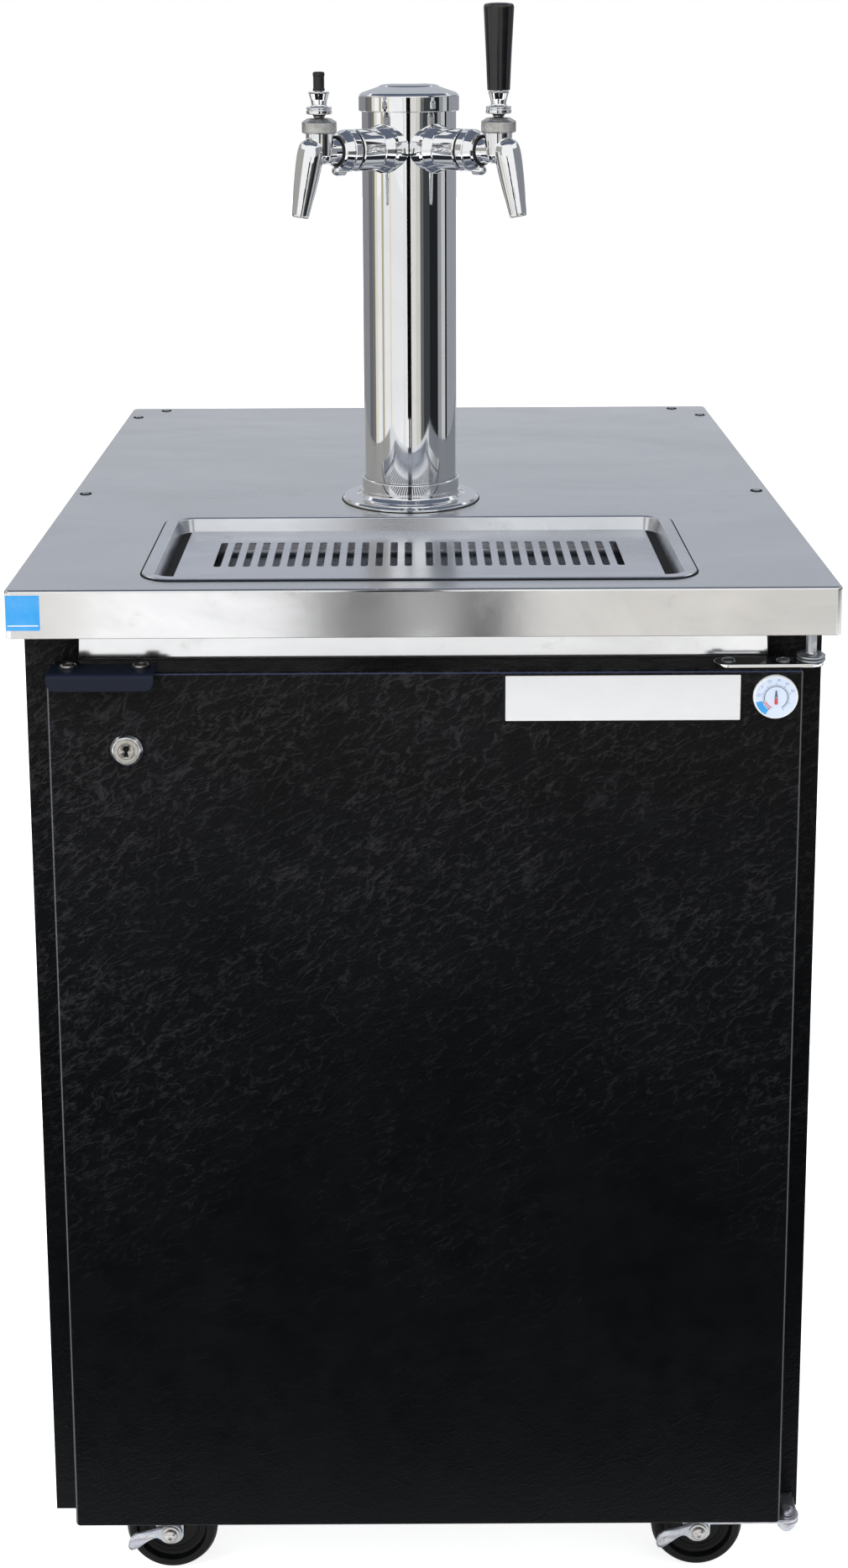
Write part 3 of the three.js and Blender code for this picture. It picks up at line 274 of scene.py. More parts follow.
def chrome(name, drawn=0.0):
    """Mirror plating with faint smudges; drawn adds the slow waves of a drawn tube."""
    f = Finish(name)
    at = f.position()
    light = (0.86, 0.87, 0.885)
    smudge = f.fitted(f.noise(at, 38, 5, 0.62, 0.6), 0.46, 0.8)
    specks = f.fitted(f.noise(at, 900, 2), 0.70, 0.78)
    waves = f.noise(f.position((1, 1, 7)), 75, 2)
    colour = f.blend(0.3 * smudge, light, scaled(light, 0.8))
    roughness = 0.03 + 0.07 * smudge + 0.12 * specks
    relief = (0.001 + drawn) * waves + 0.0006 * f.noise(at, 400, 2)
    return f.surface(relief, base_color=colour, roughness=roughness, metallic=1.0)


def satin_steel(name, light, rough):
    f = Finish(name)
    at = f.position()
    grain = f.noise(at, 1400, 3, 0.7)
    stain = f.fitted(f.noise(at, 160, 4, 0.6), 0.45, 0.75)
    colour = f.blend(stain, light, scaled(light, 0.7, 0.7, 0.68))
    roughness = f.between(stain, rough, rough + 0.14)
    return f.surface(0.006 * grain, base_color=colour, metallic=1.0, roughness=roughness)


def zinc():
    """Bright zinc plating with a bluish cast and a faint spangle."""
    f = Finish("zinc_steel")
    at = f.position()
    spangle = f.cells(at, 260.0, 1)
    bloom = f.fitted(f.noise(at, 90, 5, 0.65), 0.42, 0.72)
    dirt = f.fitted(f.noise(at, 200, 4, 0.7), 0.58, 0.74)
    colour = f.blend(0.10, (0.63, 0.66, 0.70), spangle)
    colour = f.blend(bloom, colour, (0.50, 0.53, 0.57))
    colour = f.blend(0.5 * dirt, colour, (0.2, 0.19, 0.17))
    return f.surface(
        0.02 * f.noise(at, 320, 3), base_color=colour, metallic=f.between(dirt, 0.95, 0.6),
        roughness=f.between(bloom, 0.26, 0.42),
    )


def aluminium():
    """Sheet aluminium with a soft mill grain."""
    f = Finish("liner_aluminium")
    at = f.position()
    grain = f.noise(f.position((1, 1, 30)), 800, 2)
    haze = f.fitted(f.noise(at, 8, 5, 0.6), 0.35, 0.7)
    scuffs = f.crease(f.noise(f.position((1, 3, 1)), 18, 1, 0.4, 1.4), 260)
    scuffs = scuffs * f.fitted(f.noise(at, 14, 2), 0.52, 0.64)
    colour = f.blend(haze, (0.70, 0.71, 0.72), (0.58, 0.59, 0.61))
    colour = f.blend(0.4 * scuffs, colour, (0.85, 0.85, 0.86))
    relief = 0.004 * grain - 0.008 * scuffs
    return f.surface(relief, base_color=colour, metallic=0.9, roughness=f.between(haze, 0.36, 0.5))


def foam():
    """Cut polyurethane foam with open bubbles."""
    f = Finish("foam")
    at = f.position()
    shade = f.fitted(f.noise(at, 30, 4), 0.3, 0.7)
    colour = f.blend(shade, (0.72, 0.60, 0.33), (0.58, 0.45, 0.22))
    return f.surface(0.4 * f.cells(at, 900), base_color=colour, roughness=0.95)


def board():
    """Plywood sealed with a dark stain, with its layers and fibres."""
    f = Finish("board")
    sockets = {"Vector": f.position(), "Scale": 220.0, "Distortion": 1.0}
    layers = f.node("TexWave", sockets, 1, bands_direction="Z")
    colour = f.blend(layers, (0.020, 0.017, 0.014), (0.034, 0.028, 0.022))
    return f.surface(0.06 * f.noise(f.position((30, 1, 1)), 500, 3), base_color=colour, roughness=0.8)


def moulded(name, colour, rough, marks=0.5, coat=0.0, peel=0.006):
    """Moulded plastic with a faint texture and handling marks."""
    f = Finish(name)
    at = f.position()
    handled = f.fitted(f.noise(at, 70, 5, 0.65, 0.5), 0.45, 0.8)
    scratch = f.crease(f.noise(f.position((1, 1, 4)), 60, 1, 0.4, 1.2), 300)
    scratch = scratch * f.fitted(f.noise(at, 40, 2), 0.5, 0.65)
    lighter = tuple(min(1.0, part * 1.25 + 0.004) for part in colour)
    return f.surface(
        peel * f.noise(at, 1300, 2) - 0.008 * scratch, base_color=f.blend(marks * handled, colour, lighter),
        roughness=f.between(handled, rough, rough + 0.14) + 0.2 * scratch, coat_weight=coat,
    )


def rubber(name, colour=(0.012, 0.012, 0.013), dust=0.4, rough=0.6, specular=0.35):
    """Rubber with a fine pitted skin and dust caught in it."""
    f = Finish(name)
    at = f.position()
    caught = f.fitted(f.noise(at, 75, 5, 0.7), 0.48, 0.74)
    return f.surface(
        0.05 * f.noise(at, 650, 4, 0.6), base_color=f.blend(dust * caught, colour, (0.085, 0.082, 0.078)),
        roughness=f.between(caught, rough, rough + 0.2), specular_ior_level=specular,
    )


def printed(name, colour, rough):
    """Ink or film on a smooth face, with a little fading."""
    f = Finish(name)
    at = f.position()
    fade = f.fitted(f.noise(at, 55, 4, 0.6), 0.35, 0.75)
    paler = tuple(part + (1.0 - part) * 0.07 for part in colour)
    return f.surface(0.01 * f.noise(at, 120, 3), base_color=f.blend(fade, colour, paler), roughness=rough)


vinyl = coated_steel("black_coated_steel")
door_low, door_high = span("door_skin")
# The door gets painted highlight lines along its top and side edges.
door_vinyl = coated_steel("black_coated_door", (door_low.x + 1.1, door_high.x - 1.1, door_high.z - 1.3))
enamel = satin_black("black_enamel", (24, 31, 48), 0.4, 0.2)
grille_black = satin_black("black_metal", (24, 25, 27), 0.42)
steel = brushed_steel("brushed_stainless", (0.735, 0.745, 0.765), spread=0.06, wear=0.45)
skirt_steel = brushed_steel("skirt_stainless", (0.88, 0.88, 0.885), 0.075, 0.05, 0.008)
pan_steel = brushed_steel("pan_stainless", (0.74, 0.76, 0.80), 0.13)
rail_steel = brushed_steel("rail_stainless", (0.92, 0.925, 0.935), 0.10, 0.04, 0.003)
mirror = chrome("polished_chrome")
tube_mirror = chrome("drawn_chrome", 0.012)
knurl_steel = satin_steel("knurled_steel", (0.66, 0.655, 0.645), 0.26)
nickel = satin_steel("lock_nickel", (0.66, 0.63, 0.58), 0.34)
bezel_steel = satin_steel("bezel_steel", (0.74, 0.75, 0.77), 0.2)
plated = zinc()
sheet_aluminium = aluminium()
cut_foam = foam()
plywood = board()
gloss_black = moulded("black_plastic", (0.006, 0.006, 0.007), 0.12, coat=0.15, peel=0.002)
dull_black = moulded("black_stub", (0.008, 0.008, 0.009), 0.38)
white = moulded("white_plastic", (0.80, 0.82, 0.84), 0.34, 0.3)
ivory = moulded("white_housing", (0.74, 0.75, 0.74), 0.42, 0.5)
seal_rubber = rubber("gasket_rubber", dust=0.25)
wheel_black = rubber("wheel_rubber", (0.0028, 0.0032, 0.0038), 0.08, 0.42, 0.22)
# Painted shade: this dark finish marks shadows in gaps, holes and under edges.
shadow_gap = rubber("dark_gap", (0.004, 0.004, 0.005), 0.1, 0.8)
plate_white = printed("plate_white", (0.70, 0.71, 0.72), 0.4)
label_blue = printed("label_blue", (0.018, 0.30, 0.70), 0.35)
label_white = printed("label_white", (0.80, 0.84, 0.88), 0.35)
dial_white = printed("dial_white", (0.62, 0.71, 0.86), 0.16)
dial_blue = printed("dial_blue", (0.03, 0.33, 0.75), 0.2)
dial_pale = printed("dial_pale_ink", (0.22, 0.34, 0.58), 0.2)
dial_ink = printed("dial_ink", (0.06, 0.08, 0.13), 0.2)
dial_red = printed("dial_red", (0.62, 0.03, 0.04), 0.2)


# Mesh making
def finished(name, bm, smooth=SMOOTH_UP_TO):
    """Closes a mesh's seams, turns its faces outwards and puts it in the scene."""
    bmesh.ops.remove_doubles(bm, verts=bm.verts, dist=2e-7)
    bmesh.ops.recalc_face_normals(bm, faces=bm.faces)
    mesh = bpy.data.meshes.new(name)
    bm.to_mesh(mesh)
    bm.free()
    piece = bpy.data.objects.new(name, mesh)
    bpy.context.scene.collection.objects.link(piece)
    return resmoothed(piece, smooth)


def shaped(piece, kind, **settings):
    """Adds a modifier and keeps its result."""
    modifier = piece.modifiers.new(kind.lower(), kind)
    for name, value in settings.items():
        setattr(modifier, name, value)
    whole = bpy.context.evaluated_depsgraph_get()
    mesh = bpy.data.meshes.new_from_object(piece.evaluated_get(whole))
    piece.modifiers.clear()
    piece.data = mesh
    return piece


def resmoothed(piece, smooth=SMOOTH_UP_TO):
    """Smooth faces up to an angle; the broad faces keep their true direction beside a rounded edge."""
    piece.data.shade_smooth()
    piece.data.set_sharp_from_angle(angle=radians(smooth))
    return shaped(piece, "WEIGHTED_NORMAL", weight=50, keep_sharp=True)


def loft(name, rings, place=STRAIGHT, closed=False, smooth=SMOOTH_UP_TO):
    """Skins over rings of as many points each; open ends get a face."""
    bm = bmesh.new()
    rows = [[bm.verts.new(place @ Vector(point) * MM) for point in ring] for ring in rings]
    pairs = list(zip(rows, rows[1:]))
    if closed:
        pairs.append((rows[-1], rows[0]))
    for first, second in pairs:
        for i in range(len(first)):
            j = (i + 1) % len(first)
            bm.faces.new((first[i], first[j], second[j], second[i]))
    if not closed:
        bm.faces.new(rows[0][::-1])
        bm.faces.new(rows[-1])
    return finished(name, bm, smooth)


def arc(x, y, radius, start, end, steps):
    turns = [radians(start + (end - start) * i / steps) for i in range(steps + 1)]
    return [(x + radius * cos(turn), y + radius * sin(turn)) for turn in turns]


def rounded(half_x, half_y, radius, steps=8):
    """A rounded rectangle about the middle."""
    points = []
    for k, (side_x, side_y) in enumerate([(1, 1), (-1, 1), (-1, -1), (1, -1)]):
        x = side_x * (half_x - radius)
        y = side_y * (half_y - radius)
        points += arc(x, y, radius, 90 * k, 90 * k + 90, steps)
    return points


def eased(corners, closed=False, steps=5):
    """An outline with rounded corners; a corner may carry its radius as a third number."""
    points = []
    last = len(corners) - 1
    for i, corner in enumerate(corners):
        here = Vector(corner[:2])
        radius = corner[2] if len(corner) > 2 else 0
        if not radius or (not closed and i in (0, last)):
            points.append(tuple(here))
            continue
        before = Vector(corners[i - 1][:2]) - here
        after = Vector(corners[(i + 1) % len(corners)][:2]) - here
        half = before.angle(after) / 2
        reach = min(radius / tan(half), before.length * 0.49, after.length * 0.49)
        middle = here + (before.normalized() + after.normalized()).normalized() * reach / cos(half)
        start = here + before.normalized() * reach - middle
        end = here + after.normalized() * reach - middle
        sweep = atan2(start.x * end.y - start.y * end.x, start.dot(end))
        for k in range(steps + 1):
            turn = sweep * k / steps
            x = start.x * cos(turn) - start.y * sin(turn)
            y = start.x * sin(turn) + start.y * cos(turn)
            points.append((middle.x + x, middle.y + y))
    return points


def circle(radius, height, steps):
    turns = [2 * pi * i / steps for i in range(steps)]
    return [(radius * cos(turn), radius * sin(turn), height) for turn in turns]


def turned(name, outline, place=STRAIGHT, steps=96, closed=False, smooth=SMOOTH_UP_TO):
    """A piece turned about its own Z from (radius, height) pairs."""
    return loft(name, [circle(*point, steps) for point in outline], place, closed, smooth)


def spun(name, corners, place=STRAIGHT, steps=96, closed=False):
    """A piece turned from an outline with rounded corners."""
    return turned(name, eased(corners, closed), place, steps, closed)


def rod(name, radius, low, high, place, steps=96):
    return turned(name, [(0, low), (radius, low), (radius, high), (0, high)], place, steps)


def stepped(name, levels, half_x, half_y, radius, place=STRAIGHT, closed=False, steps=8, smooth=SMOOTH_UP_TO):
    """Rounded rectangles stacked from (inset, height) pairs."""
    rings = []
    for inset, height in levels:
        outline = rounded(half_x - inset, half_y - inset, max(radius - inset, 0.2), steps)
        rings.append([(x, y, height) for x, y in outline])
    return loft(name, rings, place, closed, smooth)


def drawn_along(name, outline, start, end):
    """An outline of Y and Z run along X."""
    return loft(name, [[(x, y, z) for y, z in outline] for x in (start, end)])


def block(name, low, high):
    corners = [(low[0], low[1]), (high[0], low[1]), (high[0], high[1]), (low[0], high[1])]
    return loft(name, [[(x, y, z) for x, y in corners] for z in (low[2], high[2])])


def in_metres(place):
    place = place.copy()
    place.translation = place.translation * MM
    return place


def slab(name, outlines, low, high, place=STRAIGHT, edge=0.3):
    """A flat plate with eased edges; the outlines after the first are its holes."""
    curve = bpy.data.curves.new(name, "CURVE")
    curve.dimensions = "2D"
    curve.fill_mode = "BOTH"
    curve.extrude = ((high - low) / 2 - edge) * MM
    curve.bevel_depth = edge * MM
    curve.bevel_resolution = 2
    curve.offset = -edge * MM
    for number, outline in enumerate(outlines):
        area = sum(a[0] * b[1] - b[0] * a[1] for a, b in zip(outline, outline[1:] + outline[:1]))
        if (area > 0) != (number == 0):
            outline = outline[::-1]
        spline = curve.splines.new("POLY")
        spline.points.add(len(outline) - 1)
        for point, (x, y) in zip(spline.points, outline):
            point.co = (x * MM, y * MM, 0, 1)
        spline.use_cyclic_u = True
    mesh = mesh_of(curve)
    mesh.transform(in_metres(place) @ moved(0, 0, (low + high) / 2 * MM))
    return gathered(name, [mesh])


def mesh_of(curve):
    shape = bpy.data.objects.new(curve.name, curve)
    mesh = bpy.data.meshes.new_from_object(shape)
    bpy.data.objects.remove(shape)
    return mesh


def gathered(name, meshes, smooth=SMOOTH_UP_TO):
    """One piece from several meshes."""
    bm = bmesh.new()
    for mesh in meshes:
        bm.from_mesh(mesh)
    return finished(name, bm, smooth)


def joined(name, pieces, smooth=SMOOTH_UP_TO):
    meshes = [piece.data for piece in pieces]
    for piece in pieces:
        bpy.data.objects.remove(piece)
    return gathered(name, meshes, smooth)


def repeated(name, pattern, places):
    """Copies of one piece, moved by each place in turn, as one piece."""
    copies = [pattern.data.copy() for place in places]
    for mesh, place in zip(copies, places):
        mesh.transform(in_metres(place))
    bpy.data.objects.remove(pattern)
    return gathered(name, copies)


def cut(piece, *tools):
    for tool in tools:
        shaped(piece, "BOOLEAN", object=tool, operation="DIFFERENCE", solver="EXACT")
        bpy.data.objects.remove(tool)
    return piece


def eased_edges(piece, width, segments, turn, **settings):
    """Rounds the edges that turn by more than an angle."""
    return shaped(
        piece, "BEVEL", width=width * MM, segments=segments, limit_method="ANGLE", angle_limit=radians(turn),
        **settings,
    )


def softened(node, width, segments=2):
    """A solid's own shape with its edges eased."""
    bm = bmesh.new()
    bm.from_mesh(frame["nodes"][node].data)
    bmesh.ops.remove_doubles(bm, verts=bm.verts, dist=1e-6)
    bmesh.ops.dissolve_limit(bm, angle_limit=radians(0.6), verts=bm.verts, edges=bm.edges)
    bmesh.ops.triangulate(bm, faces=[face for face in bm.faces if len(face.verts) > 4])
    piece = finished("eased_" + node, bm)
    return resmoothed(eased_edges(piece, width, segments, 28, miter_outer="MITER_ARC"), 36)


def stands_for(piece, node, finish, *others):
    """Dresses a piece, and shows it in place of its solid."""
    fixed_to(piece, node, finish)
    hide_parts(node, *others)


def fixed_to(piece, node, finish):
    """Dresses a piece that rides with a solid."""
    piece.data.materials.clear()
    piece.data.materials.append(finish)
    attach(piece, body_of[node])


def screw_head(radius, height):
    """A domed head with a slot, about its own foot."""
    dome = [(0, 0), (radius * 0.94, 0), (radius, height * 0.2), (radius * 0.9, height * 0.6, radius * 0.5)]
    dome += [(radius * 0.55, height * 0.93, radius * 0.6), (0, height)]
    half = radius * 0.13
    slot = block("slot", (-radius * 2, -half, height * 0.5), (radius * 2, half, height * 2))
    return cut(spun("head", dome, steps=40), slot)


# Cabinet
def dress_cabinet():
    stands_for(softened("outer_casing", 1.1, 3), "outer_casing", vinyl)
    stands_for(softened("inner_liner", 1.0), "inner_liner", sheet_aluminium)
    header_rail()
    room_for_rail = block("notch", (-320, -320, 820), (320, -294, 880))
    stands_for(resmoothed(cut(softened("insulation_foam", 0.5), room_for_rail)), "insulation_foam", cut_foam)
    rear_louvres()
    for node, finish, width in [
        ("compressor", grille_black, 1.2), ("condenser_coil", sheet_aluminium, 0.4),
        ("condenser_fan", gloss_black, 0.5), ("condenser_fan_motor", plated, 0.8),
        ("evaporator_coil", sheet_aluminium, 0.5), ("evaporator_fan", ivory, 0.5),
    ]:
        stands_for(softened(node, width), node, finish)
    stands_for(softened("thermostat_box", 3.0, 3), "thermostat_box", ivory)
    thermostat()


def header_rail():
    """The bright trim over the door; its face leans back above a short upright lip."""
    low, high = span("header_rail")
    front = low.y
    seat = low.z + 6.5
    lean = 6.6
    outline = eased([
        (front, low.z, 3.5), (front, seat, 40), (front + lean, high.z), (front + lean + SHEET, high.z),
        (front + SHEET, seat, 40), (front + SHEET, low.z + SHEET, 2.3), (high.y, low.z + SHEET),
        (high.y, low.z),
    ], True)
    stands_for(drawn_along("header_trim", outline, low.x, high.x), "header_rail", rail_steel)


def rear_louvres():
    stands_for(softened("rear_grille", 0.3), "rear_grille", grille_black)
    low, high = span("rear_grille")
    columns, rows, height, pitch, margin, between = 2, 9, 7, 24, 45, 42
    width = (high.x - low.x - margin * 2 + between) / columns - between
    middle = (low.z + high.z) / 2
    cheek = eased([
        (0, height), (2.6, height * 0.35, 2), (2.6, -height * 0.3), (2.0, -height * 0.3),
        (2.0, height * 0.2, 2), (0, height * 0.8),
    ], True)
    hoods = []
    for column in (-0.5, 0.5):
        x = column * (width + between)
        for row in range(rows):
            z = middle + (row - (rows - 1) / 2) * pitch
            outline = [(high.y + out, up + z) for out, up in cheek]
            hoods.append(drawn_along("hood", outline, x - width / 2 - 2, x + width / 2 + 2))
    fixed_to(joined("louvre_hoods", hoods), "rear_grille", grille_black)
    inset = 8
    spots = [
        moved(x, high.y, z) @ Matrix.Rotation(-pi / 2, 4, "X")
        for x in (low.x + inset, 0, high.x - inset) for z in (low.z + inset, high.z - inset)
    ]
    fixed_to(repeated("grille_screws", screw_head(4.2, 2.0), spots), "rear_grille", plated)


def thermostat():
    low, high = span("thermostat_knob")
    x = (low.x + high.x) / 2
    z = (low.z + high.z) / 2
    radius = (high.x - low.x) / 2
    place = moved(x, high.y, z) @ FACING
    deep = high.y - low.y
    knob = spun("thermostat_dial", [
        (0, 0), (radius, 0, 0.6), (radius, 3.2, 0.8), (radius * 0.8, 4.2, 1.4), (radius * 0.74, deep, 1.6),
        (0, deep),
    ], place)
    ribs = []
    for i in range(18):
        turn = Matrix.Rotation(2 * pi * i / 18, 4, "Z")
        outline = [(0, 4), (1.1, 4), (1.1, deep - 1.2, 0.8), (0, deep - 0.8)]
        ribs.append(spun("rib", outline, place @ turn @ moved(radius * 0.76, 0, 0), 10))
    stands_for(joined("thermostat_grip", [knob, *ribs]), "thermostat_knob", gloss_black)
    mark = block("thermostat_mark", (x - 0.7, low.y - 0.15, z + 2), (x + 0.7, low.y + 1, z + radius * 0.7))
    fixed_to(mark, "thermostat_knob", label_white)


# Counter
counter_low, counter_high = span("counter_skin")
top = counter_high.z
pan_low, pan_high = span("drip_pan")
pan_half_x = (pan_high.x - pan_low.x) / 2
pan_half_y = (pan_high.y - pan_low.y) / 2
PAN = moved((pan_low.x + pan_high.x) / 2, (pan_low.y + pan_high.y) / 2, 0)
PAN_RADIUS = 24
cap_low, cap_high = span("tower_cap")
tower_x = (cap_low.x + cap_high.x) / 2
tower_y = (cap_low.y + cap_high.y) / 2
TOWER_RADIUS = 39.5


def on_tower(height=0):
    return moved(tower_x, tower_y, height)


def counter_top():
    skirt = counter_low.z
    outer = eased([
        (6, top), (0, top, 2.4), (0, skirt, 0.5), (SHEET, skirt, 0.5), (SHEET, top - SHEET, 1.2),
        (6, top - SHEET),
    ], steps=6)
    shell = stepped("counter_sheet", outer, counter_high.x, counter_high.y, 5)
    well = stepped("well", [(8, top - 20), (8, top + 20)], pan_half_x, pan_half_y, PAN_RADIUS, PAN)
    resmoothed(cut(shell, well, rod("passage", 30, top - 20, top + 20, on_tower())))
    stands_for(shell, "counter_skin", steel)
    shell.data.materials.append(skirt_steel)
    for face in shell.data.polygons:
        face.material_index = int(abs(face.normal.z) < 0.4)
    spots = [moved(side * x, y, top) for side in (-1, 1) for x, y in ((293, 310), (268, 347), (293, -47))]
    fixed_to(repeated("counter_screws", screw_head(3.1, 1.5), spots), "counter_skin", plated)
    # Painted shade: a dark ring round each screw head for its hole.
    cup = spun("cup", [(3.0, 0), (5.3, 0), (5.3, 0.35, 0.2), (3.0, 0.6)], steps=32, closed=True)
    fixed_to(repeated("screw_hole_shades", cup, spots), "counter_skin", shadow_gap)


def drip_tray():
    rim = pan_high.z
    ledge = top - 11
    floor = top - 28
    inside = eased([
        (60, floor + SHEET), (24, floor + SHEET, 5), (21.6, ledge - SHEET, 0), (21, ledge, 1.4),
        (13, ledge, 2), (9.4, rim, 2.2), (0.6, rim, 0.5), (0, rim - 0.6),
    ], steps=6)
    outside = [
        (0, top + 0.3), (8.6, top + 0.3), (11.6, ledge - SHEET), (20, ledge - SHEET), (22.8, floor),
        (60, floor),
    ]
    bowl = stepped("drip_bowl", inside + outside, pan_half_x, pan_half_y, PAN_RADIUS, PAN, steps=12)
    drain = PAN @ moved(60, 0, 0)
    cut(bowl, rod("bore", 6.5, floor - 9, floor + 9, drain, 48))
    outline = [(6.5, floor - 4), (9, floor - 4, 0.6), (9, floor + 0.6), (6.5, floor + 0.6)]
    spigot = spun("spigot", outline, drain, 48, True)
    stands_for(joined("drip_bowl", [bowl, spigot], 40), "drip_pan", pan_steel)
    # Painted shadow: a thin dark ring round the pan's rim where it meets the counter.
    line = [(-1.3, top + 0.05), (-1.3, top + 0.4), (0.2, top + 0.9), (0.2, top + 0.05)]
    seal = stepped("tray_rim_shadow", line, pan_half_x, pan_half_y, PAN_RADIUS, PAN, True, 12)
    fixed_to(seal, "drip_pan", shadow_gap)


def drip_grille():
    """The slotted plate, and dark strips on the pan's ledge beyond its ends, painted shadow in the gaps
    between plate and wall.
    """
    low, high = span("drip_grille")
    end_gap = 8.0
    half_x = (high.x - low.x) / 2 - end_gap
    half_y = (high.y - low.y) / 2
    outlines = [rounded(half_x, half_y, 4.5, 10)]
    for side in (-1, 1):
        for i in range(14):
            x = side * (8.3 + i * 11.4)
            outlines.append([(x + u, v + 13.5) for u, v in rounded(2.8, 38, 2.79)])
    stands_for(slab("drip_plate", outlines, low.z, high.z, PAN, 0.28), "drip_grille", pan_steel)
    # Painted shadow: dark strips fill the gaps between the plate's ends and the pan's walls.
    shadow_strips = []
    corner = PAN_RADIUS - 12.3
    near = half_x + 0.15
    far = half_x + end_gap
    for side in (-1, 1):
        outline = [(near, -half_y)] + arc(far - corner, corner - half_y, corner, 290, 360, 8)
        outline += arc(far - corner, half_y - corner, corner, 0, 70, 8) + [(near, half_y)]
        outline = [(side * x, y) for x, y in outline if x >= near]
        shadow_strips.append(slab("strip", [outline], low.z - 0.2, low.z + 0.8, PAN, 0.25))
    fixed_to(joined("ledge_shadows", shadow_strips), "drip_pan", shadow_gap)


def label():
    """The plain blue label on the counter's front, with one white line."""
    for name, half_x, half_z, radius, z, low, high, edge, finish in [
        ("blue_label", 12.4, 13.2, 0.6, 879.1, 0, 0.28, 0.08, label_blue),
        ("label_line", 11.2, 0.35, 0.3, 869.6, 0.26, 0.36, 0.03, label_white),
    ]:
        place = moved(-291, counter_low.y + 0.05, z) @ FACING
        piece = slab(name, [rounded(half_x, half_z, radius)], low, high, place, edge)
        fixed_to(piece, "counter_skin", finish)


# Column
def column():
    inner = TOWER_RADIUS + 0.3
    flange = spun("column_flange", [
        (inner, 0), (58.5, 0, 0.5), (58.5, 1.6, 1.0), (56.2, 3.4, 1.6), (46.2, 3.9, 3), (42, 6.8, 2.4),
        (42, 9.6, 0.4), (41.2, 10.0, 0.3), (41.2, 10.5, 0.3), (42, 10.9, 0.4), (42, 19.2, 1.2),
        (40.8, 20, 0.5), (inner, 20),
    ], on_tower(top + 0.3), 160, True)
    stands_for(flange, "tower_flange", mirror)
    # Painted shadow: a thin dark ring under the flange's edge.
    foot = [(57.6, 0.03), (59.3, 0.03), (59.3, 0.2), (58.7, 0.5), (57.6, 0.25)]
    fixed_to(spun("flange_contact_shadow", foot, on_tower(top), 128, True), "counter_skin", shadow_gap)
    low, high = span("tower_column")
    tall = high.z - low.z
    tube = [(38, 0), (TOWER_RADIUS, 0), (TOWER_RADIUS, tall, 0.4), (38, tall, 0.4)]
    stands_for(spun("column_tube", tube, on_tower(low.z), 192, True), "tower_column", tube_mirror)
    skirt = cap_high.z - cap_low.z
    cap = eased([
        (0, 12.4), (inner, 12.4, 0.3), (inner, 0), (42, 0, 0.8), (42, 13.0, 1.8), (39.6, 15.2, 2.4),
        (25.6, 20.0, 3), (24.2, 21.1, 0.8), (21.5, 21.9, 1.4), (14, skirt - 0.15, 30), (0, skirt),
    ], steps=6)
    stands_for(turned("column_cap", cap, on_tower(cap_low.z), 160), "tower_cap", mirror)


# Taps: each has its own frame, with X out of the column and the faucet's upright axis as Z
TAP_REACH = 63.2
TAP_DROP = 52.7
ROUND_TAPS = (1100, 1300)


def tap_place(side):
    seat = radians(35.5)
    turn = radians(51)
    x = TOWER_RADIUS * sin(seat) + TAP_REACH * sin(turn)
    y = TOWER_RADIUS * cos(seat) + TAP_REACH * cos(turn)
    heading = turn - pi / 2 if side > 0 else -turn - pi / 2
    return moved(tower_x + side * x, tower_y - y, cap_high.z - TAP_DROP) @ Matrix.Rotation(heading, 4, "Z")


def from_column(outline):
    """Moves an outline whose heights are distances out of the column into the tap's frame."""
    return [(radius, distance - TAP_REACH) for radius, distance in outline]


def along_tap(name, corners, place, steps=96, closed=True):
    return turned(name, from_column(eased(corners, closed)), place @ LENGTHWISE, steps, closed)


def saddle(side, prefix, place):
    foot = along_tap(prefix + "_mount", [
        (9.3, -30), (20.6, -30), (20.6, -3), (20.3, 0.4, 5), (17.5, 7.3, 0.5), (16.75, 7.8, 0.3),
        (17.1, 8.3, 0.3), (17.1, 28.4, 0.7), (16.2, 29.1, 0.3), (9.3, 29.1),
    ], place, 128)
    low, high = ROUND_TAPS
    column_space = rod("space", TOWER_RADIUS + 0.2, low, high, on_tower(), 192)
    edge = tower_x + side * 0.6
    far = tower_x - side * 90
    beyond = block("beyond", (min(edge, far), tower_y - 120, low), (max(edge, far), tower_y + 90, high))
    stands_for(resmoothed(cut(foot, column_space, beyond)), prefix + "_saddle", mirror)
    # A black ring in the joint between the saddle and the nut, painted shade for the gap there.
    ring = [(9.4, 29.1), (15.2, 29.1, 0.5), (15.6, 30.0, 0.5), (15.2, 31.0, 0.5), (9.4, 31.0)]
    fixed_to(along_tap(prefix + "_seal", ring, place), prefix + "_saddle", seal_rubber)


def nut(prefix, place):
    """The coupling nut, with the stud and its web that stick out below it."""
    ring = along_tap("ring", [
        (9.3, 31.1), (16.5, 31.1, 0.4), (17.1, 31.8, 0.5), (17.1, 37.7, 0.4), (16.5, 38.2, 0.25),
        (16.5, 38.6, 0.25), (17.0, 39.2, 0.6), (14.6, 45.4, 1.4), (12.8, 46.5, 0.5), (11.0, 46.5), (11.0, 36),
        (9.3, 36),
    ], place, 128)
    stud = [(0, 38.8), (4.2, 38.8), (4.2, 46.6, 2.6), (2.6, 49.5, 2), (0, 49.5)]
    knob = along_tap("knob", stud, place @ moved(0, 0, -15.8), 48, False)
    web = rod("web", 5, 39 - TAP_REACH, 45 - TAP_REACH, place @ moved(0, 0, -12.2) @ LENGTHWISE, 32)
    stands_for(joined(prefix + "_collar_nut", [ring, knob, web]), prefix + "_coupling_nut", mirror)
    lip = [(10.9, 46.55), (12.3, 46.55, 0.4), (12.3, 47.5, 0.5), (10.9, 47.7)]
    fixed_to(along_tap(prefix + "_nut_seal", lip, place), prefix + "_coupling_nut", seal_rubber)


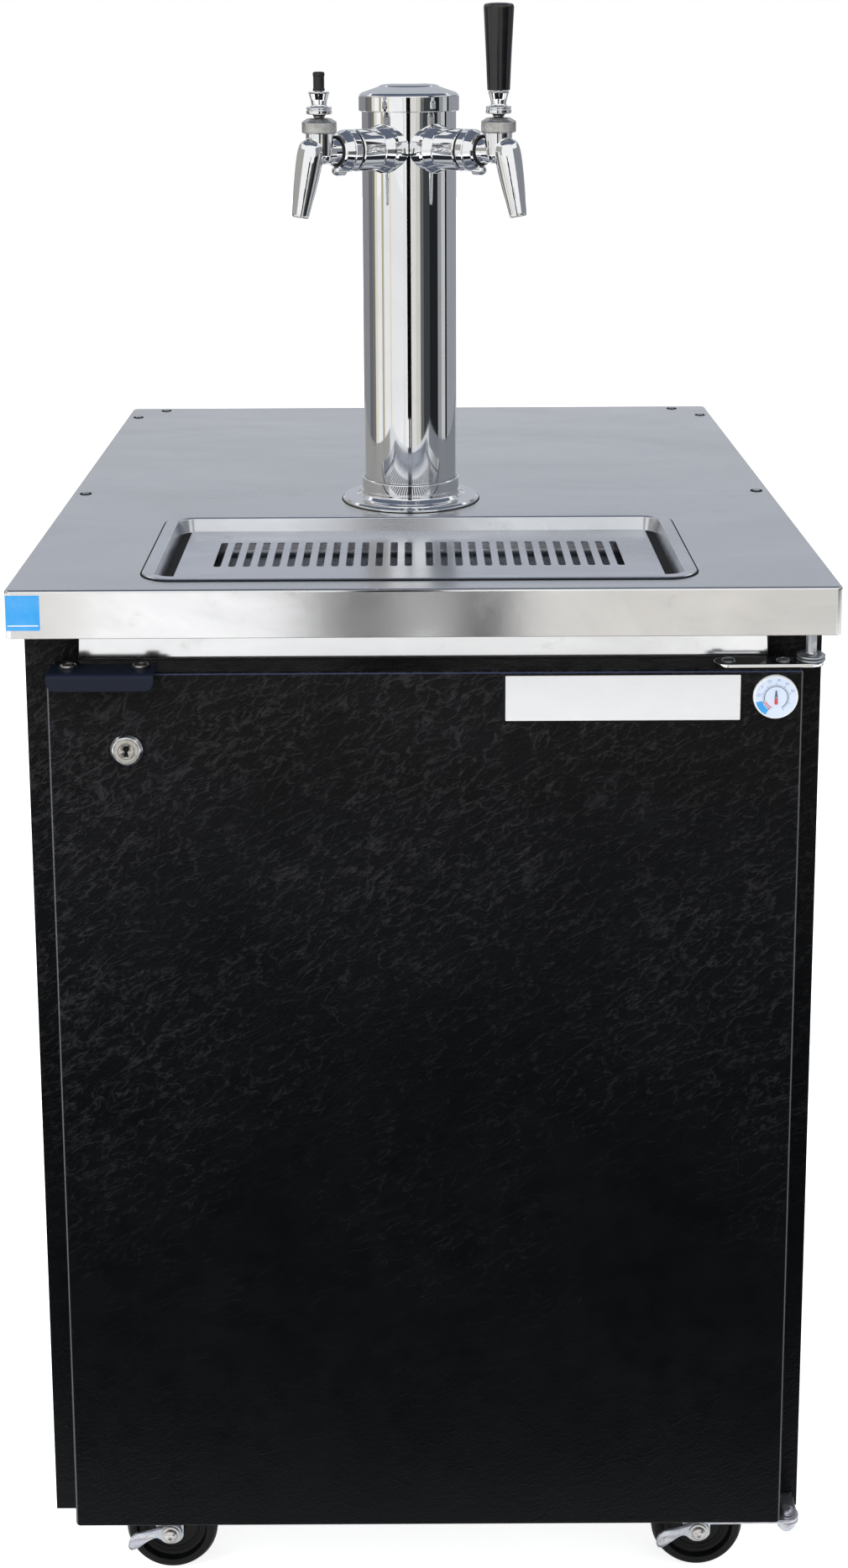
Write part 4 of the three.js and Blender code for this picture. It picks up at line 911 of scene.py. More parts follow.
def faucet(prefix, place):
    """The body is blended from simple forms, then smoothed as a casting is."""
    start = Vector((8.6, 0, 1))
    along = Vector((20, 0, -51.5)) - start
    lean = atan2(along.x, -along.z)
    down = place @ Matrix.Translation(start) @ Matrix.Rotation(pi - lean, 4, "Y")
    length = along.length
    bullet = turned("bullet", [
        (0, -9.8), (4.6, -9.0), (8.0, -6.9), (9.9, -3.8), (10.7, 0), (10.8, 4), (10.6, 10), (10.0, 20),
        (9.2, 30), (8.2, 40), (7.2, length - 2.5), (6.9, length), (0, length),
    ], down, 64)
    barrel = [(0, 36.4), (10.7, 36.4), (10.7, 47), (9.9, 52), (9.9, 58), (10.4, 63.2), (0, 63.2)]
    tube = turned("tube", from_column(barrel), place @ LENGTHWISE, 64)
    neck = [(0, -9.6), (6, -9.2), (9, -7), (10.4, -3), (10.8, 2), (11, 16.1), (0, 16.1)]
    whole = joined(prefix + "_faucet", [bullet, tube, turned("neck", neck, place, 64)])
    shaped(whole, "REMESH", mode="VOXEL", voxel_size=0.45 * MM)
    shaped(whole, "SMOOTH", factor=0.5, iterations=9)
    bore = [(0, length - 14), (4.9, length - 14), (5.0, length + 9), (0, length + 9)]
    node = prefix + "_faucet_body"
    stands_for(resmoothed(cut(whole, turned("bore", bore, down, 48)), 50), node, mirror)
    lip = [
        (4.9, length - 0.9), (6.7, length - 0.9, 0.3), (6.95, length - 0.2, 0.4), (6.5, length + 0.35, 0.3),
        (5.0, length + 0.35, 0.2),
    ]
    fixed_to(spun(prefix + "_spout_lip", lip, down, 64, True), node, mirror)
    # Painted shade: a dark disc inside the spout's bore.
    deep = rod(prefix + "_spout_shade", 4.88, length - 12, length - 11, down, 40)
    fixed_to(deep, node, shadow_gap)


def knurled_ring(prefix, place):
    """A collar with a real diamond knurl."""
    lines = 56
    steps = lines * 6
    low, high, rows = 16.0, 23.4, 30
    line_rise = 1.55

    def ridge(value):
        return abs((value % 1.0) * 2 - 1)

    rings = [circle(*point, steps) for point in [(11.3, 14.9), (12.6, 14.9), (13.5, 15.4), (13.7, 15.8)]]
    for row in range(rows + 1):
        height = low + (high - low) * row / rows
        lift = (height - low) / line_rise
        ring = []
        for i in range(steps):
            around = i * lines / steps
            depth = 0.5 * (1 - min(ridge(around + lift), ridge(around - lift)) - 0.35)
            radius = 14.0 - max(0.0, depth)
            turn = 2 * pi * i / steps
            ring.append((radius * cos(turn), radius * sin(turn), height))
        rings.append(ring)
    rings += [circle(*point, steps) for point in [
        (13.8, 23.6), (14.0, 23.9), (13.6, 24.4), (12.4, 25.2), (9.8, 26.8), (9.2, 27.0), (7.3, 27.0),
        (7.3, 23), (11.3, 17),
    ]]
    ring = loft(prefix + "_knurled_ring", rings, place, True, 60)
    stands_for(ring, prefix + "_bonnet_ring", knurl_steel)


def tap_lever(prefix, place):
    ball = 7.4
    ball_arc = arc(0, 22, ball, -degrees(acos(1.8 / ball)), degrees(acos(4.2 / ball)), 20)
    stem = eased([
        (4.2, 29.4), (4.2, 30.2), (9.7, 30.2, 0.4), (10.3, 30.9, 0.5), (10.3, 33.2, 0.4), (9.8, 33.7, 0.25),
        (9.8, 34.1, 0.25), (10.25, 34.6, 0.4), (10.25, 35.5, 0.5), (9.4, 36.3, 0.6), (6.6, 36.5, 0.8),
        (6.0, 38.0, 1.2), (6.6, 41.6, 8), (8.1, 46.6, 0.8), (8.4, 47.2, 0.3), (8.4, 47.9, 0.4),
        (7.6, 48.3, 0.3), (3, 48.3), (3, 57), (0, 57),
    ])
    outline = [(0, 2.5), (1.1, 2.5), (1.8, 4.0), *ball_arc, *stem]
    stands_for(turned(prefix + "_tap_stem", outline, place), prefix + "_lever", mirror)
    friction = [(4.3, 28.4), (4.7, 28.5), (4.8, 29.35), (5.9, 30.0), (5.9, 30.1), (4.3, 30.1)]
    fixed_to(turned(prefix + "_friction_ring", friction, place, 64, True), prefix + "_lever", dull_black)


def tap(side, prefix):
    place = tap_place(side)
    saddle(side, prefix, place)
    nut(prefix, place)
    faucet(prefix, place)
    knurled_ring(prefix, place)
    tap_lever(prefix, place)


def grips():
    """The tall handle on the right tap, and the rubber cap over the left tap's bare thread."""
    socket = [(0, 57.3), (3.3, 57.3), (3.3, 48.7)]
    grip = socket + eased([
        (3.3, 48.7), (8.7, 48.7, 0.4), (9.15, 49.3, 0.6), (10.1, 72, 60), (12.35, 114.6, 2.6),
        (11.4, 117.0, 1.6), (6, 117.9, 12), (0, 118.1),
    ])[1:]
    stands_for(turned("tall_grip", grip, tap_place(1), smooth=40), "tap_handle", gloss_black)
    stub = socket + eased([
        (3.3, 48.7), (4.5, 48.7, 0.3), (4.8, 49.2, 0.3), (4.8, 50.6, 0.3), (4.45, 51.0, 0.2),
        (4.45, 60.4, 0.2), (4.75, 60.8, 0.3), (4.75, 63.2, 0.9), (3.6, 64.1, 0.8), (0, 64.2),
    ])[1:]
    stands_for(turned("stub_cap", stub, tap_place(-1), 64), "thread_cap", dull_black)


# Door
door_front = door_low.y


def facing_middle(low, high):
    """The place on the door's front in the middle between two corners."""
    return moved((low.x + high.x) / 2, door_front, (low.z + high.z) / 2) @ FACING


DOOR = facing_middle(door_low, door_high)
DOOR_HALF = ((door_high.x - door_low.x) / 2, (door_high.z - door_low.z) / 2)
LOCK = facing_middle(*span("lock_barrel"))
SKIN_DEEP = -30


def bored_panel(name, levels, radius):
    """A panel over the whole door, with the lock's hole."""
    piece = stepped(name, levels, *DOOR_HALF, radius, DOOR)
    return resmoothed(cut(piece, rod("bore", 9.3, -60, 20, LOCK, 48)))


def dress_door():
    outer = eased([
        (5, 0), (0, 0, 1.9), (0, SKIN_DEEP, 0.4), (SHEET, SKIN_DEEP, 0.4), (SHEET, -SHEET, 0.8), (5, -SHEET),
    ], steps=6)
    stands_for(bored_panel("door_panel", outer, 3.4), "door_skin", door_vinyl)
    dish = eased([
        (60, SKIN_DEEP + 0.9), (34, SKIN_DEEP + 0.9, 3), (30, SKIN_DEEP, 3), (1.9, SKIN_DEEP, 0.3),
        (1.5, -29.6), (1.5, -28), (60, -28),
    ])
    stands_for(bored_panel("door_inner_panel", dish, 3), "door_liner", sheet_aluminium)
    gasket()
    pull()
    lock()
    nameplate()
    thermometer()


def gasket():
    """A magnetic gasket: a flat dart, a bellows and a soft face."""
    near = SKIN_DEEP - 0.3
    far = door_front - span("door_gasket")[1].y
    bellows = eased([
        (2.2, near), (2.0, near - 1.6, 0.7), (4.4, near - 2.6, 0.5), (2.2, near - 4.0, 0.7),
        (4.2, near - 5.4, 0.5), (2.0, near - 6.6, 0.7), (2.0, far + 0.5, 0.7), (5.0, far, 0.8),
        (9.0, far + 0.5, 2), (13.5, far, 0.8), (16.6, far + 1.4, 0.8), (16.2, near - 5.2, 0.8),
        (18.8, near - 3.6, 0.7), (16.4, near - 2.2, 0.7), (18.6, near - 0.8, 0.5), (18.6, near),
    ], True, 4)
    seal = stepped("door_seal", bellows, *DOOR_HALF, 6, DOOR, True, smooth=50)
    stands_for(seal, "door_gasket", seal_rubber)


def pull():
    """The bent lip that opens the door, with its rivets."""
    low, high = span("door_pull")
    skin = 2.0
    fold = eased([
        (high.y, high.z), (low.y, high.z, 3.2), (low.y, low.z, 0.8), (low.y + skin, low.z, 0.8),
        (low.y + skin, high.z - skin, 1.2), (high.y, high.z - skin),
    ], True)
    lip = drawn_along("pull_lip", fold, low.x, high.x)
    radius = 8
    for side, x in ((1, low.x), (-1, high.x)):
        middle = x + side * radius
        curve = arc(middle, low.z + radius, radius, 270, 180 if side > 0 else 360, 12)
        corner = [(x - side * 3, low.z + radius), (x - side * 3, low.z - 3), (middle, low.z - 3)] + curve
        rings = [[(u, y, w) for u, w in corner] for y in (low.y - 5, low.y + 8)]
        cut(lip, loft("corner", rings))
    stands_for(resmoothed(eased_edges(lip, 0.35, 2, 50)), "door_pull", enamel)
    spots = [moved(x, -338, high.z) for x in (-263.5, -209.6)]
    for name, corners, steps, closed, finish in [
        ("pull_washers", [(0, 0), (7.2, 0), (7.2, 0.5, 0.3), (5.4, 0.9, 0.3), (0, 0.9)], 48, False,
         dull_black),
        ("pull_rivets", [(3.4, 0.9), (5.8, 0.9), (5.7, 1.9, 0.5), (4.5, 3.0, 0.5), (3.4, 2.0, 0.3)], 48, True,
         knurl_steel),
        ("rivet_cores", [(0, 0.9), (3.3, 0.9), (3.3, 1.3, 0.3), (0, 1.2)], 32, False, dull_black),
    ]:
        part = spun("part", corners, steps=steps, closed=closed)
        fixed_to(repeated(name, part, spots), "door_pull", finish)


def lock():
    bezel = spun("lock_bezel", [
        (6.3, -30.3), (9.0, -30.3), (9.0, 0.3), (12.3, 0.3, 0.2), (12.3, 1.1, 0.4), (10.6, 3.1, 0.8),
        (9.6, 3.4, 0.4), (9.1, 2.7, 0.2), (6.3, 2.7),
    ], LOCK, closed=True)
    stands_for(bezel, "lock_barrel", bezel_steel)
    face = [(6.25, 2.7), (9.0, 2.7), (8.9, 3.15, 0.2), (6.25, 3.15, 0.1)]
    fixed_to(spun("lock_face", face, LOCK, closed=True), "lock_barrel", nickel)
    plug = spun("lock_core", [(0, -33.6), (6, -33.6), (6, 3.2, 0.2), (0, 3.2)], LOCK, 72)
    keyway = arc(0, 1.9, 2.5, -60, 240, 16)
    keyway += [(-1.1, -0.5), (-1.8, -4.4), (-0.6, -3.9), (0.6, -3.9), (1.8, -4.4), (1.1, -0.5)]
    cut(plug, loft("keyway", [[(x, y, z) for x, y in keyway] for z in (-5, 6)], LOCK))
    blade = eased([(-6, 6, 5), (6, 6, 5), (5, -30, 4), (-5, -30, 4)], True)
    cam = slab("cam", [blade], -33.9, -30.9, LOCK, 0.4)
    stands_for(resmoothed(joined("lock_core", [plug, cam])), "lock_plug", nickel)
    # Painted shade: a dark disc a little way down the keyway.
    fixed_to(rod("keyway_shade", 4.6, 1.2, 1.9, LOCK, 32), "lock_plug", shadow_gap)


def nameplate():
    """The plate, left blank, over a slightly larger dark plate that shows as a rim at its left and bottom."""
    left, right, bottom, highest = 60.5, 234.4, 789.6, 824.2
    x = (left + right) / 2
    z = (bottom + highest) / 2
    half_x = (right - left) / 2
    half_z = (highest - bottom) / 2
    back = moved(x - 0.8, door_front, z - 0.3) @ FACING
    dark_rim = slab("plate_dark_rim", [rounded(half_x + 1.6, half_z + 1.0, 0.8)], 0, 0.5, back, 0.15)
    fixed_to(dark_rim, "door_skin", shadow_gap)
    plate = slab("blank_plate", [rounded(half_x, half_z, 0.7)], 0.4, 1.5, moved(x, door_front, z) @ FACING)
    fixed_to(plate, "door_skin", plate_white)


def thermometer():
    low, high = span("thermometer")
    radius = (high.x - low.x) / 2
    place = facing_middle(low, high)
    ink = 3.6

    def on_dial(piece, finish):
        fixed_to(piece, "thermometer", finish)

    body = spun("dial_body", [
        (0, 0.3), (radius, 0.3), (radius, 2.6, 0.6), (radius - 0.9, 3.9, 0.8), (radius - 1.5, 3.5, 0.2),
        (0, 3.5),
    ], place)
    stands_for(body, "thermometer", white)
    on_dial(rod("dial_face", radius - 1.4, 3.4, 3.62, place), dial_white)
    for name, inner, outer, start, end, finish in [
        ("cold_band", 0.64, 0.915, 194, 240, dial_blue), ("warm_band", 0.57, 0.60, 196, 246, dial_red),
        ("warm_line", 0.47, 0.51, 200, 250, dial_red), ("scale_line", 0.50, 0.53, -60, 196, dial_ink),
    ]:
        outline = arc(0, 0, radius * outer, start, end, 24) + arc(0, 0, radius * inner, end, start, 24)
        on_dial(slab(name, [outline], ink, ink + 0.12, place, 0.03), finish)
    ticks = []
    for i in range(41):
        reach = 2.2 if i % 5 == 0 else 1.1
        turn = Matrix.Rotation(radians(-60 + 300 * i / 40), 4, "Z")
        tick = place @ (turn @ moved(radius * 0.54 + reach / 2, 0, 0))
        ticks.append(slab("tick", [rounded(reach / 2, 0.16, 0.05, 2)], ink, ink + 0.12, tick, 0.02))
    on_dial(joined("scale_ticks", ticks), dial_ink)
    for number, turn in (("-20", 172), ("0", 142), ("20", 112), ("40", 82), ("60", 52), ("80", 22)):
        on_dial(figure(number, turn, place, radius * 0.80), dial_pale)
    for name, corners, finish in [
        ("needle_head", [(-0.35, 5.6), (0.35, 5.6), (1.0, 0.5, 0.3), (1.0, -0.8, 0.3), (-1.0, -0.8, 0.3),
                         (-1.0, 0.5, 0.3)], dial_ink),
        ("needle_tail", [(-1.0, -0.8, 0.2), (1.0, -0.8, 0.2), (1.3, -5.2, 0.4), (-1.3, -5.2, 0.4)], dial_red),
    ]:
        on_dial(slab(name, [eased(corners, True)], 3.8, 4.1, place, 0.08), finish)
    on_dial(spun("needle_pin", [(0, 3.7), (0.9, 3.7), (0.9, 4.3, 0.3), (0, 4.35)], place, 32), plated)


def figure(number, turn, place, radius):
    """A plain number on the dial, upright at its place on the scale."""
    curve = bpy.data.curves.new("figure", "FONT")
    curve.body = number
    curve.align_x = "CENTER"
    curve.align_y = "CENTER"
    curve.size = 3.0 * MM
    curve.extrude = 0.05 * MM
    curve.resolution_u = 3
    mesh = mesh_of(curve)
    out = Matrix.Rotation(radians(turn), 4, "Z")
    back = Matrix.Rotation(radians(-turn), 4, "Z")
    mesh.transform(in_metres(place @ out @ moved(radius, 0, 3.66) @ back))
    return gathered("dial_figure_" + number.replace("-", "minus_"), [mesh])


# Hinges
PIN_X = 288.5
PIN_Y = -330.0
EYE = 9.5


def hinge_leaf(name, node, finish):
    low, high = span(node)
    half = 10
    outline = arc(low.x + half, PIN_Y, half, 90, 270, 16) + arc(PIN_X, PIN_Y, EYE, -90, 90, 24)
    bore = arc(PIN_X, PIN_Y, 4.3, 0, 345, 23)
    stands_for(slab(name, [outline, bore], low.z, high.z, edge=0.6), node, finish)
    return low, high


def bracket_plates(node, leg_low, arm_low):
    """The upright leg and the arm with its eye."""
    low, high = span(node)
    thick = 3
    half = (high.x - low.x) / 2
    tall = arm_low + thick - leg_low
    upright = moved((low.x + high.x) / 2, high.y - thick / 2, leg_low + tall / 2) @ FACING
    leg = slab("leg", [rounded(half, tall / 2, 2.5)], -thick / 2, thick / 2, upright, 0.5)
    outline = [(low.x, high.y), (low.x, PIN_Y + 8)] + arc(PIN_X, PIN_Y, EYE, 200, 350, 20)
    outline += [(high.x, PIN_Y + 8), (high.x, high.y)]
    return [leg, slab("arm", [outline], arm_low, arm_low + thick, edge=0.5)]


def upper_hinge():
    low, high = hinge_leaf("upper_leaf", "upper_hinge_leaf", mirror)
    spots = [moved(x, PIN_Y, high.z) for x in (227, 268)]
    fixed_to(repeated("leaf_screws", screw_head(5.2, 2.0), spots), "upper_hinge_leaf", plated)
    highest = span("upper_hinge_bracket")[1].z
    pin = spun("pin", [
        (0, -0.6), (3.6, -0.6), (4, -0.2), (4, 3.3), (9.6, 3.3, 0.4), (10.7, 3.9, 0.5), (10.7, 5.0, 0.5),
        (9.6, 5.7, 0.4), (6, 5.7, 0.3), (6, 6.0, 0.1), (9.6, 6.0, 0.4), (10.7, 6.5, 0.5), (10.7, 7.7, 0.5),
        (9.6, 8.4, 0.4), (4.4, 8.4, 0.6), (4, 10, 0.6), (4, 33), (0, 33),
    ], moved(PIN_X, PIN_Y, low.z), 64)
    plates = bracket_plates("upper_hinge_bracket", highest - 17, highest - 3)
    stands_for(joined("upper_bracket", [*plates, pin]), "upper_hinge_bracket", plated)


def lower_hinge():
    leaf_low, leaf_high = hinge_leaf("lower_leaf", "lower_hinge_leaf", plated)
    low, high = span("lower_hinge_bracket")
    arm = leaf_low.z - 3.3
    nut_face = arm - 8
    washer = leaf_high.z + 0.3
    bolt = spun("bolt", [
        (0, nut_face), (4.2, nut_face, 0.6), (6.9, nut_face + 3.2, 1.2), (7, arm - 1.6, 0.4),
        (8.6, arm - 1.4, 0.4), (8.6, arm, 0.4), (4, arm), (4, washer), (5.6, washer, 0.5),
        (5.6, high.z - 1.4, 1.4), (3.6, high.z, 1.4), (0, high.z),
    ], moved(PIN_X, PIN_Y, 0), 64)
    plates = bracket_plates("lower_hinge_bracket", low.z, arm)
    stands_for(joined("lower_bracket", [*plates, bolt]), "lower_hinge_bracket", plated)


# Casters
AXLE_Z = 38.5
LEAD = 7
FORK_HALF = 20.3
FORK_PLATE = 3
FORK_TOP = 87.8


def on_axle(place, y=0):
    return place @ moved(LEAD, y, AXLE_Z) @ FACING


def wheel_shape(name, place):
    half = eased([
        (38.5, 0), (38.5, 11, 3), (35.8, 15.6, 2.5), (33, 16, 1), (29.8, 16, 0.8), (28.4, 10.8, 1.6),
        (26.4, 10.0, 0.8), (23.2, 10.0, 0.4), (22.7, 10.9, 0.4), (21.7, 10.9, 0.4), (21.2, 10.0, 0.4),
        (11, 10.0, 1), (9.6, 15.4, 0.8), (8.4, 16, 0.5), (4.3, 16),
    ])
    outline = half + [(radius, -width) for radius, width in reversed(half)]
    return turned(name, outline, on_axle(place), 112, True)


def fork_shape(name, place, reach):
    """Two legs under a crown, with the axle bolt, whose shank ends just past reach."""
    outline = [(-18.9, 89)] + arc(LEAD, AXLE_Z, 11, 200, 340, 24) + [(18.9, 89)]
    pieces = [
        slab("leg", [outline], inner, inner + FORK_PLATE, place @ FACING, 0.5)
        for inner in (FORK_HALF - FORK_PLATE, -FORK_HALF)
    ]
    pieces.append(slab("bridge", [rounded(18.9, FORK_HALF, 2)], FORK_TOP, FORK_TOP + FORK_PLATE, place, 0.5))
    pieces.append(spun("crown", [
        (0, 87.9), (16, 87.9), (22, 89.0, 1.2), (22, 90.6, 0.6), (19.5, 91.2, 0.5), (19.5, 92.4, 0.3),
        (5, 92.4), (5, 101.4), (0, 101.4),
    ], place, 72))
    pieces.append(spun("axle", [
        (0, -FORK_HALF - 5), (3.5, -FORK_HALF - 5, 1), (5.8, -FORK_HALF - 4, 1), (6.4, -FORK_HALF, 0.2),
        (4, -FORK_HALF), (4, reach + 0.4), (0, reach + 0.4),
    ], on_axle(place), 56))
    return joined(name, pieces)


def bolt_head(name, place, reach):
    """A domed bolt head over its washer, with a small socket."""
    return spun(name, [
        (0, reach + 0.1), (7.6, reach + 0.1, 0.3), (7.6, reach + 1.1, 0.4), (5.9, reach + 1.2, 0.2),
        (5.7, reach + 3.0, 1.6), (3.4, reach + 4.6, 2.4), (1.5, reach + 5.0, 0.3), (1.3, reach + 3.6),
        (0, reach + 3.6),
    ], on_axle(place), 56)


def smoothly(stations, steps=4):
    """More stations on a smooth line through the given ones."""
    found = []
    for i in range(len(stations) - 1):
        before = stations[max(i - 1, 0)]
        first, second = stations[i], stations[i + 1]
        after = stations[min(i + 2, len(stations) - 1)]
        for k in range(steps):
            t = k / steps
            found.append([
                0.5 * (2 * b + (c - a) * t + (2 * a - 5 * b + 4 * c - d) * t * t
                       + (3 * b - a - 3 * c + d) * t ** 3)
                for a, b, c, d in zip(before, first, second, after)
            ])
    return found + [list(stations[-1])]


def brake_shape(name, place):
    """A pressed lever like a spoon; a station is X, Z, half its width, how far it stands out, its turn."""
    thick = 2.4
    middle = thick / 2
    rings = []
    for x, z, half, out, twist in smoothly([
        (9.2, 0, 1.6, 0, 0), (7.4, 0, 5.6, 0, 0), (4, 0, 8.4, 0, 0), (0, 0, 9.4, 0, 0),
        (-4.5, 0.1, 8.3, 0, 0), (-8.5, 0.4, 5.6, 0, 0), (-12.5, 0.6, 4.4, 0.3, 2), (-17.5, -0.5, 4.6, 1.4, 8),
        (-22.5, -2.0, 5.6, 2.6, 15), (-27.5, -3.6, 6.6, 3.4, 20), (-31.5, -4.8, 6.4, 3.8, 22),
        (-34.2, -5.6, 4.8, 3.8, 22), (-35.6, -6.1, 1.8, 3.6, 22),
    ]):
        rim = min(0.9, half * 0.4)
        cupped = min(1.3, half * 0.18) if x < -14 else 0
        section = [
            (-half, 0.9), (-half + rim, thick), (-half * 0.5, thick - cupped), (0, thick - cupped),
            (half * 0.5, thick - cupped), (half - rim, thick), (half, 0.9), (half - rim, 0),
            (0, -cupped * 0.6), (-half + rim, 0),
        ]
        turn = radians(twist)
        ring = []
        for u, level in section:
            up = u * cos(turn) + (level - middle) * sin(turn)
            forward = (level - middle) * cos(turn) - u * sin(turn) + middle
            ring.append((x + u * 0.15, z + up, forward + out))
        rings.append(ring)
    return loft(name, rings, on_axle(place, -20.6), smooth=42)


def casters():
    for end in ("front", "rear"):
        braked = end == "front"
        reach = FORK_HALF + (FORK_PLATE if braked else 0)
        node = end + "_caster_rail"
        low, high = span(node)
        wheel_low, wheel_high = span(end + "_right_caster_wheel")
        out = (wheel_low.x + wheel_high.x) / 2 - LEAD
        stands_for(softened(node, 0.6), node, plated)
        for side, prefix in ((-1, "left"), (1, "right")):
            place = moved(side * out, (low.y + high.y) / 2, 0)
            base = f"{end}_{prefix}_caster"
            stands_for(fork_shape(base + "_frame", place, reach), base + "_fork", plated)
            fixed_to(bolt_head(base + "_bolt", place, reach), base + "_fork", knurl_steel)
            stands_for(wheel_shape(base + "_tyre", place), base + "_wheel", wheel_black)
            if braked:
                stands_for(brake_shape(base + "_spoon", place), base + "_brake", plated)


def hidden_solids():
    """Solids that stay as they are get their finish."""
    finishes = {
        "door_core": cut_foam, "counter_core": plywood, "left_shank": mirror, "right_shank": mirror,
        "left_plunger": knurl_steel, "right_plunger": knurl_steel,
    }
    for node, finish in finishes.items():
        mesh = frame["nodes"][node].data
        mesh.materials.clear()
        mesh.materials.append(finish)


# Studio, in metres
def flat(name, points):
    bm = bmesh.new()
    bm.faces.new([bm.verts.new(point) for point in points])
    return finished(name, bm)


def only_reflected(piece, colour):
    """Makes a card that only shiny surfaces see, as they see the things round a real counter."""
    f = Finish(piece.name)
    piece.data.materials.append(f.ended(f.node("Emission", {"Color": (*tone(*colour), 1), "Strength": 1.0})))
    piece.visible_camera = False
    piece.visible_diffuse = False
    piece.visible_shadow = False
    piece.visible_transmission = False
    piece.visible_volume_scatter = False
    piece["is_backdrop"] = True


def upright_card(name, left, right, y, low, high, colour):
    points = [(left, y, low), (right, y, low), (right, y, high), (left, y, high)]
    only_reflected(flat(name, points), colour)


def lying_card(name, corners, height, colour):
    only_reflected(flat(name, [(x, y, height) for x, y in corners]), colour)


def round_card(name, start, end, colour, low=0.1, high=1.18, radius=3.2):
    """An upright strip round the column between two directions; 0 faces the camera and 90 is to its right."""
    steps = max(2, ceil(abs(end - start) / 4))
    bm = bmesh.new()
    rows = []
    for i in range(steps + 1):
        turn = radians(start + (end - start) * i / steps)
        x = tower_x * MM + radius * sin(turn)
        y = tower_y * MM - radius * cos(turn)
        rows.append((bm.verts.new((x, y, low)), bm.verts.new((x, y, high))))
    for first, second in zip(rows, rows[1:]):
        bm.faces.new((first[0], second[0], second[1], first[1]))
    only_reflected(finished(name, bm), colour)


def surroundings():
    """Stand-ins for the photograph's room; their colours are screen values."""
    for number, (start, end, colour) in enumerate([
        (-180, -118, (140, 141, 144)), (-118, -104, (108, 108, 112)), (-104, -94, (122, 120, 116)),
        (-94, -85, (232, 226, 208)), (-72, -66, (188, 176, 150)), (-49, -46, (236, 222, 186)),
        (15, 26, (214, 212, 204)), (26, 34, (104, 106, 106)), (34, 50, (62, 64, 66)), (50, 73, (34, 36, 38)),
        (73, 84, (150, 152, 152)), (84, 97, (198, 200, 202)), (97, 103, (8, 8, 10)),
        (103, 180, (152, 154, 160)),
    ]):
        round_card(f"band_{number}", start, end, colour)
    round_card("dark_strip", -6, 3, (10, 10, 12), 0.885, 1.235, 0.5)
    upright_card("back_wall", -6, 6, 4.2, 1.5, 5, (186, 190, 198))
    lying_card("dark_mat", [(-1.6, -0.5), (1.6, -0.5), (1.8, -1.9), (-1.8, -1.9)], 0.004, (24, 27, 32))
    lying_card("ceiling", [(-3, -2.2), (3, -2.2), (3, 2.6), (-3, 2.6)], 4.2, (100, 108, 124))
    lying_card("left_ground", [(-2.6, -0.5), (-0.5, -0.5), (-0.5, 1.6), (-2.6, 1.6)], 0.004, (40, 44, 52))
    lying_card("right_ground", [(0.5, -0.5), (2.6, -0.5), (2.6, 1.6), (0.5, 1.6)], 0.004, (40, 44, 52))
    near, far = -1.9, -12
    for name, near_left, near_right, far_left, far_right, colour in [
        ("far_left", -0.72, -0.50, -3.1, -2.15, (238, 236, 232)),
        ("left", -0.155, -0.020, -0.652, -0.062, (12, 12, 15)),
        ("middle", 0.034, 0.147, 0.174, 0.670, (34, 34, 38)),
        ("right", 0.17, 0.72, 0.78, 3.1, (230, 227, 222)),
    ]:
        strip = [(near_left, near), (near_right, near), (far_right, far), (far_left, far)]
        lying_card(name + "_strip", strip, 0.006, colour)
        upright_card(name + "_wall", far_left, far_right, far, 0, 1, colour)
    round_card("upper_left", -150, -52, (170, 168, 164), 1.18, 2.7)
    round_card("upper_right", 46, 150, (138, 141, 147), 1.18, 2.7)


def floor():
    """White ground that takes shadows and adds some glow for the camera and for shiny surfaces."""
    half = 14
    ground = flat("studio_floor", [(-half, -half, 0), (half, -half, 0), (half, half, 0), (-half, half, 0)])
    f = Finish("floor_white")
    seen = f.light_path("Is Camera Ray") * 0.8 + f.light_path("Is Glossy Ray") * 0.3
    lit = f.node("BsdfDiffuse", {"Color": (0.80, 0.80, 0.81, 1)})
    glow = f.node("Emission", {"Color": (1, 1, 1, 1), "Strength": seen})
    ground.data.materials.append(f.ended(f.node("AddShader", {0: lit, 1: glow})))
    ground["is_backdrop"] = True


def world():
    sky = bpy.data.worlds.new("studio")
    sky.use_nodes = True
    bpy.context.scene.world = sky
    w = Nodes(sky.node_tree)
    seen = w.light_path("Is Camera Ray") + w.light_path("Is Glossy Ray") + w.light_path("Is Transmission Ray")
    back = w.node("Background", {"Color": (1, 1, 1, 1), "Strength": w.between(seen, 0.72, 1.0)})
    w.node("OutputWorld", {"Surface": back})


